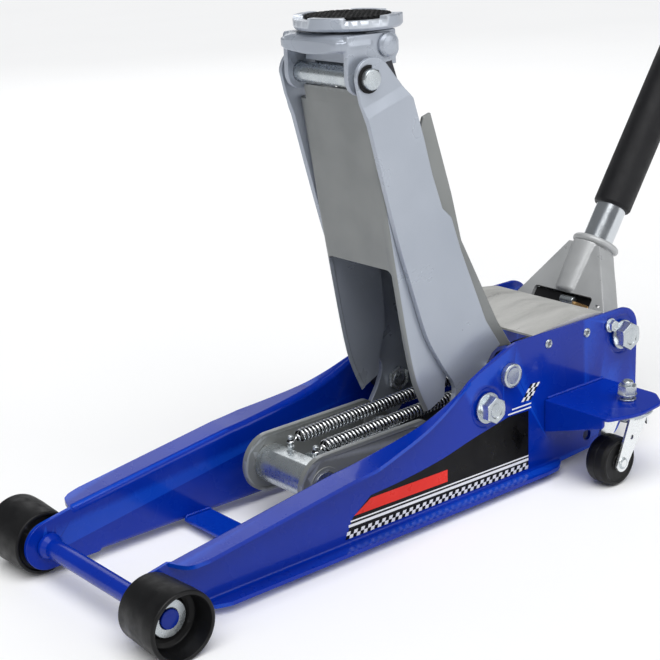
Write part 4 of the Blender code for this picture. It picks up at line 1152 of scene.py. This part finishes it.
# -------------------- assembly
axle()
levelling_pin()
hydraulics()
crosshead()
arm_channels()
saddle_bracket()
saddle()
yoke()
handle()
window_parts()
welds()
refined("front_cross_strap", "frame", "frame_blue", bevel=0.8)
refined("rear_cross_plate", "frame", "frame_blue", bevel=0.8)
refined("cover_plate", "frame", "cover_grey", bevel=0.6)
for side_label, side_sign in SIDES:
    side_plate(side_label, side_sign)
    caster_bracket(side_label, side_sign)
    bolts(side_label, side_sign)
    decals(side_label, side_sign)
    link(side_label, side_sign)
    spring(side_label, side_sign)
    arm_plate(side_label, side_sign)
    refined(f"levelling_bar_{side_label}", "levelling_bars", "dark_steel", bevel=0.7)
    front_wheel(side_label, side_sign)
    caster(side_label, side_sign)

# -------------------- stage, light and camera


def stage():
    bm = bmesh.new()
    half, level = 30.0, -0.0004
    corners = ((-half, -half), (half, -half), (half, half), (-half, half))
    bm.faces.new([bm.verts.new((x, y, level)) for x, y in corners])
    mesh = bpy.data.meshes.new("floor")
    bm.to_mesh(mesh)
    bm.free()
    floor = bpy.data.objects.new("floor", mesh)
    bpy.context.scene.collection.objects.link(floor)
    white, second = (0.96, 0.96, 0.96), (0.97, 0.97, 0.97)
    mesh.materials.append(finish("floor_white", white, second, 0.9, specular=0.0, spots=2))
    world = bpy.data.worlds.new("studio")
    world.use_nodes = True
    tree = world.node_tree
    seen = tree.nodes["Background"]
    seen.inputs["Color"].default_value = (1.0, 1.0, 1.0, 1)
    seen.inputs["Strength"].default_value = 1.0
    fill = node(tree, "ShaderNodeBackground", Color=(0.93, 0.96, 1.0, 1), Strength=0.2)
    path = tree.nodes.new("ShaderNodeLightPath")
    mix = tree.nodes.new("ShaderNodeMixShader")
    tree.links.new(path.outputs["Is Camera Ray"], mix.inputs[0])
    tree.links.new(fill.outputs[0], mix.inputs[1])
    tree.links.new(seen.outputs[0], mix.inputs[2])
    tree.links.new(mix.outputs[0], tree.nodes["World Output"].inputs["Surface"])
    bpy.context.scene.world = world
    bpy.context.scene.view_settings.view_transform = "Standard"


def aimed(name, data, place, way, turn=0.0):
    """A light or camera that looks along `way`, rolled by `turn`."""
    made = bpy.data.objects.new(name, data)
    bpy.context.scene.collection.objects.link(made)
    made.location = place
    made.rotation_mode = "QUATERNION"
    roll = Quaternion((0, 0, 1), turn)
    made.rotation_quaternion = Vector(way).to_track_quat("-Z", "Y") @ roll
    return made


def light(name, place, target, size, power):
    data = bpy.data.lights.new(name, "AREA")
    data.shape = "RECTANGLE"
    data.size, data.size_y = size
    data.energy = power
    aimed(name, data, Vector(place), Vector(target) - Vector(place))


def sun(strength, spread, source):
    data = bpy.data.lights.new("sun", "SUN")
    data.energy = strength
    data.angle = radians(spread)
    aimed("sun", data, Vector(), -Vector(source))


def camera():
    azimuth, elevation, roll = (radians(a) for a in (-39.653, 17.296, -2.204))
    back = Matrix.Rotation(azimuth, 3, "Z") @ Matrix.Rotation(elevation, 3, "X").transposed()
    back = back @ Vector((0, -1, 0))
    data = bpy.data.cameras.new("camera")
    data.lens = 81.66
    data.sensor_width = 36
    data.clip_end = 100
    place = TO_ROW @ Vector((-617.7, -1094.8, 640.8))
    bpy.context.scene.camera = aimed("camera", data, place, -back, roll)


stage()
sun(2.6, 60, (-0.25, -0.45, 1.0))
light("left", (-3.0, -0.6, 1.5), (-0.1, 0, 0.2), (1.6, 2.2), 10)
light("right", (1.5, -2.8, 1.4), (0.0, 0, 0.2), (1.6, 1.8), 20)
light("back", (1.2, 2.8, 1.8), (0.0, 0, 0.2), (2.0, 1.2), 10)
camera()
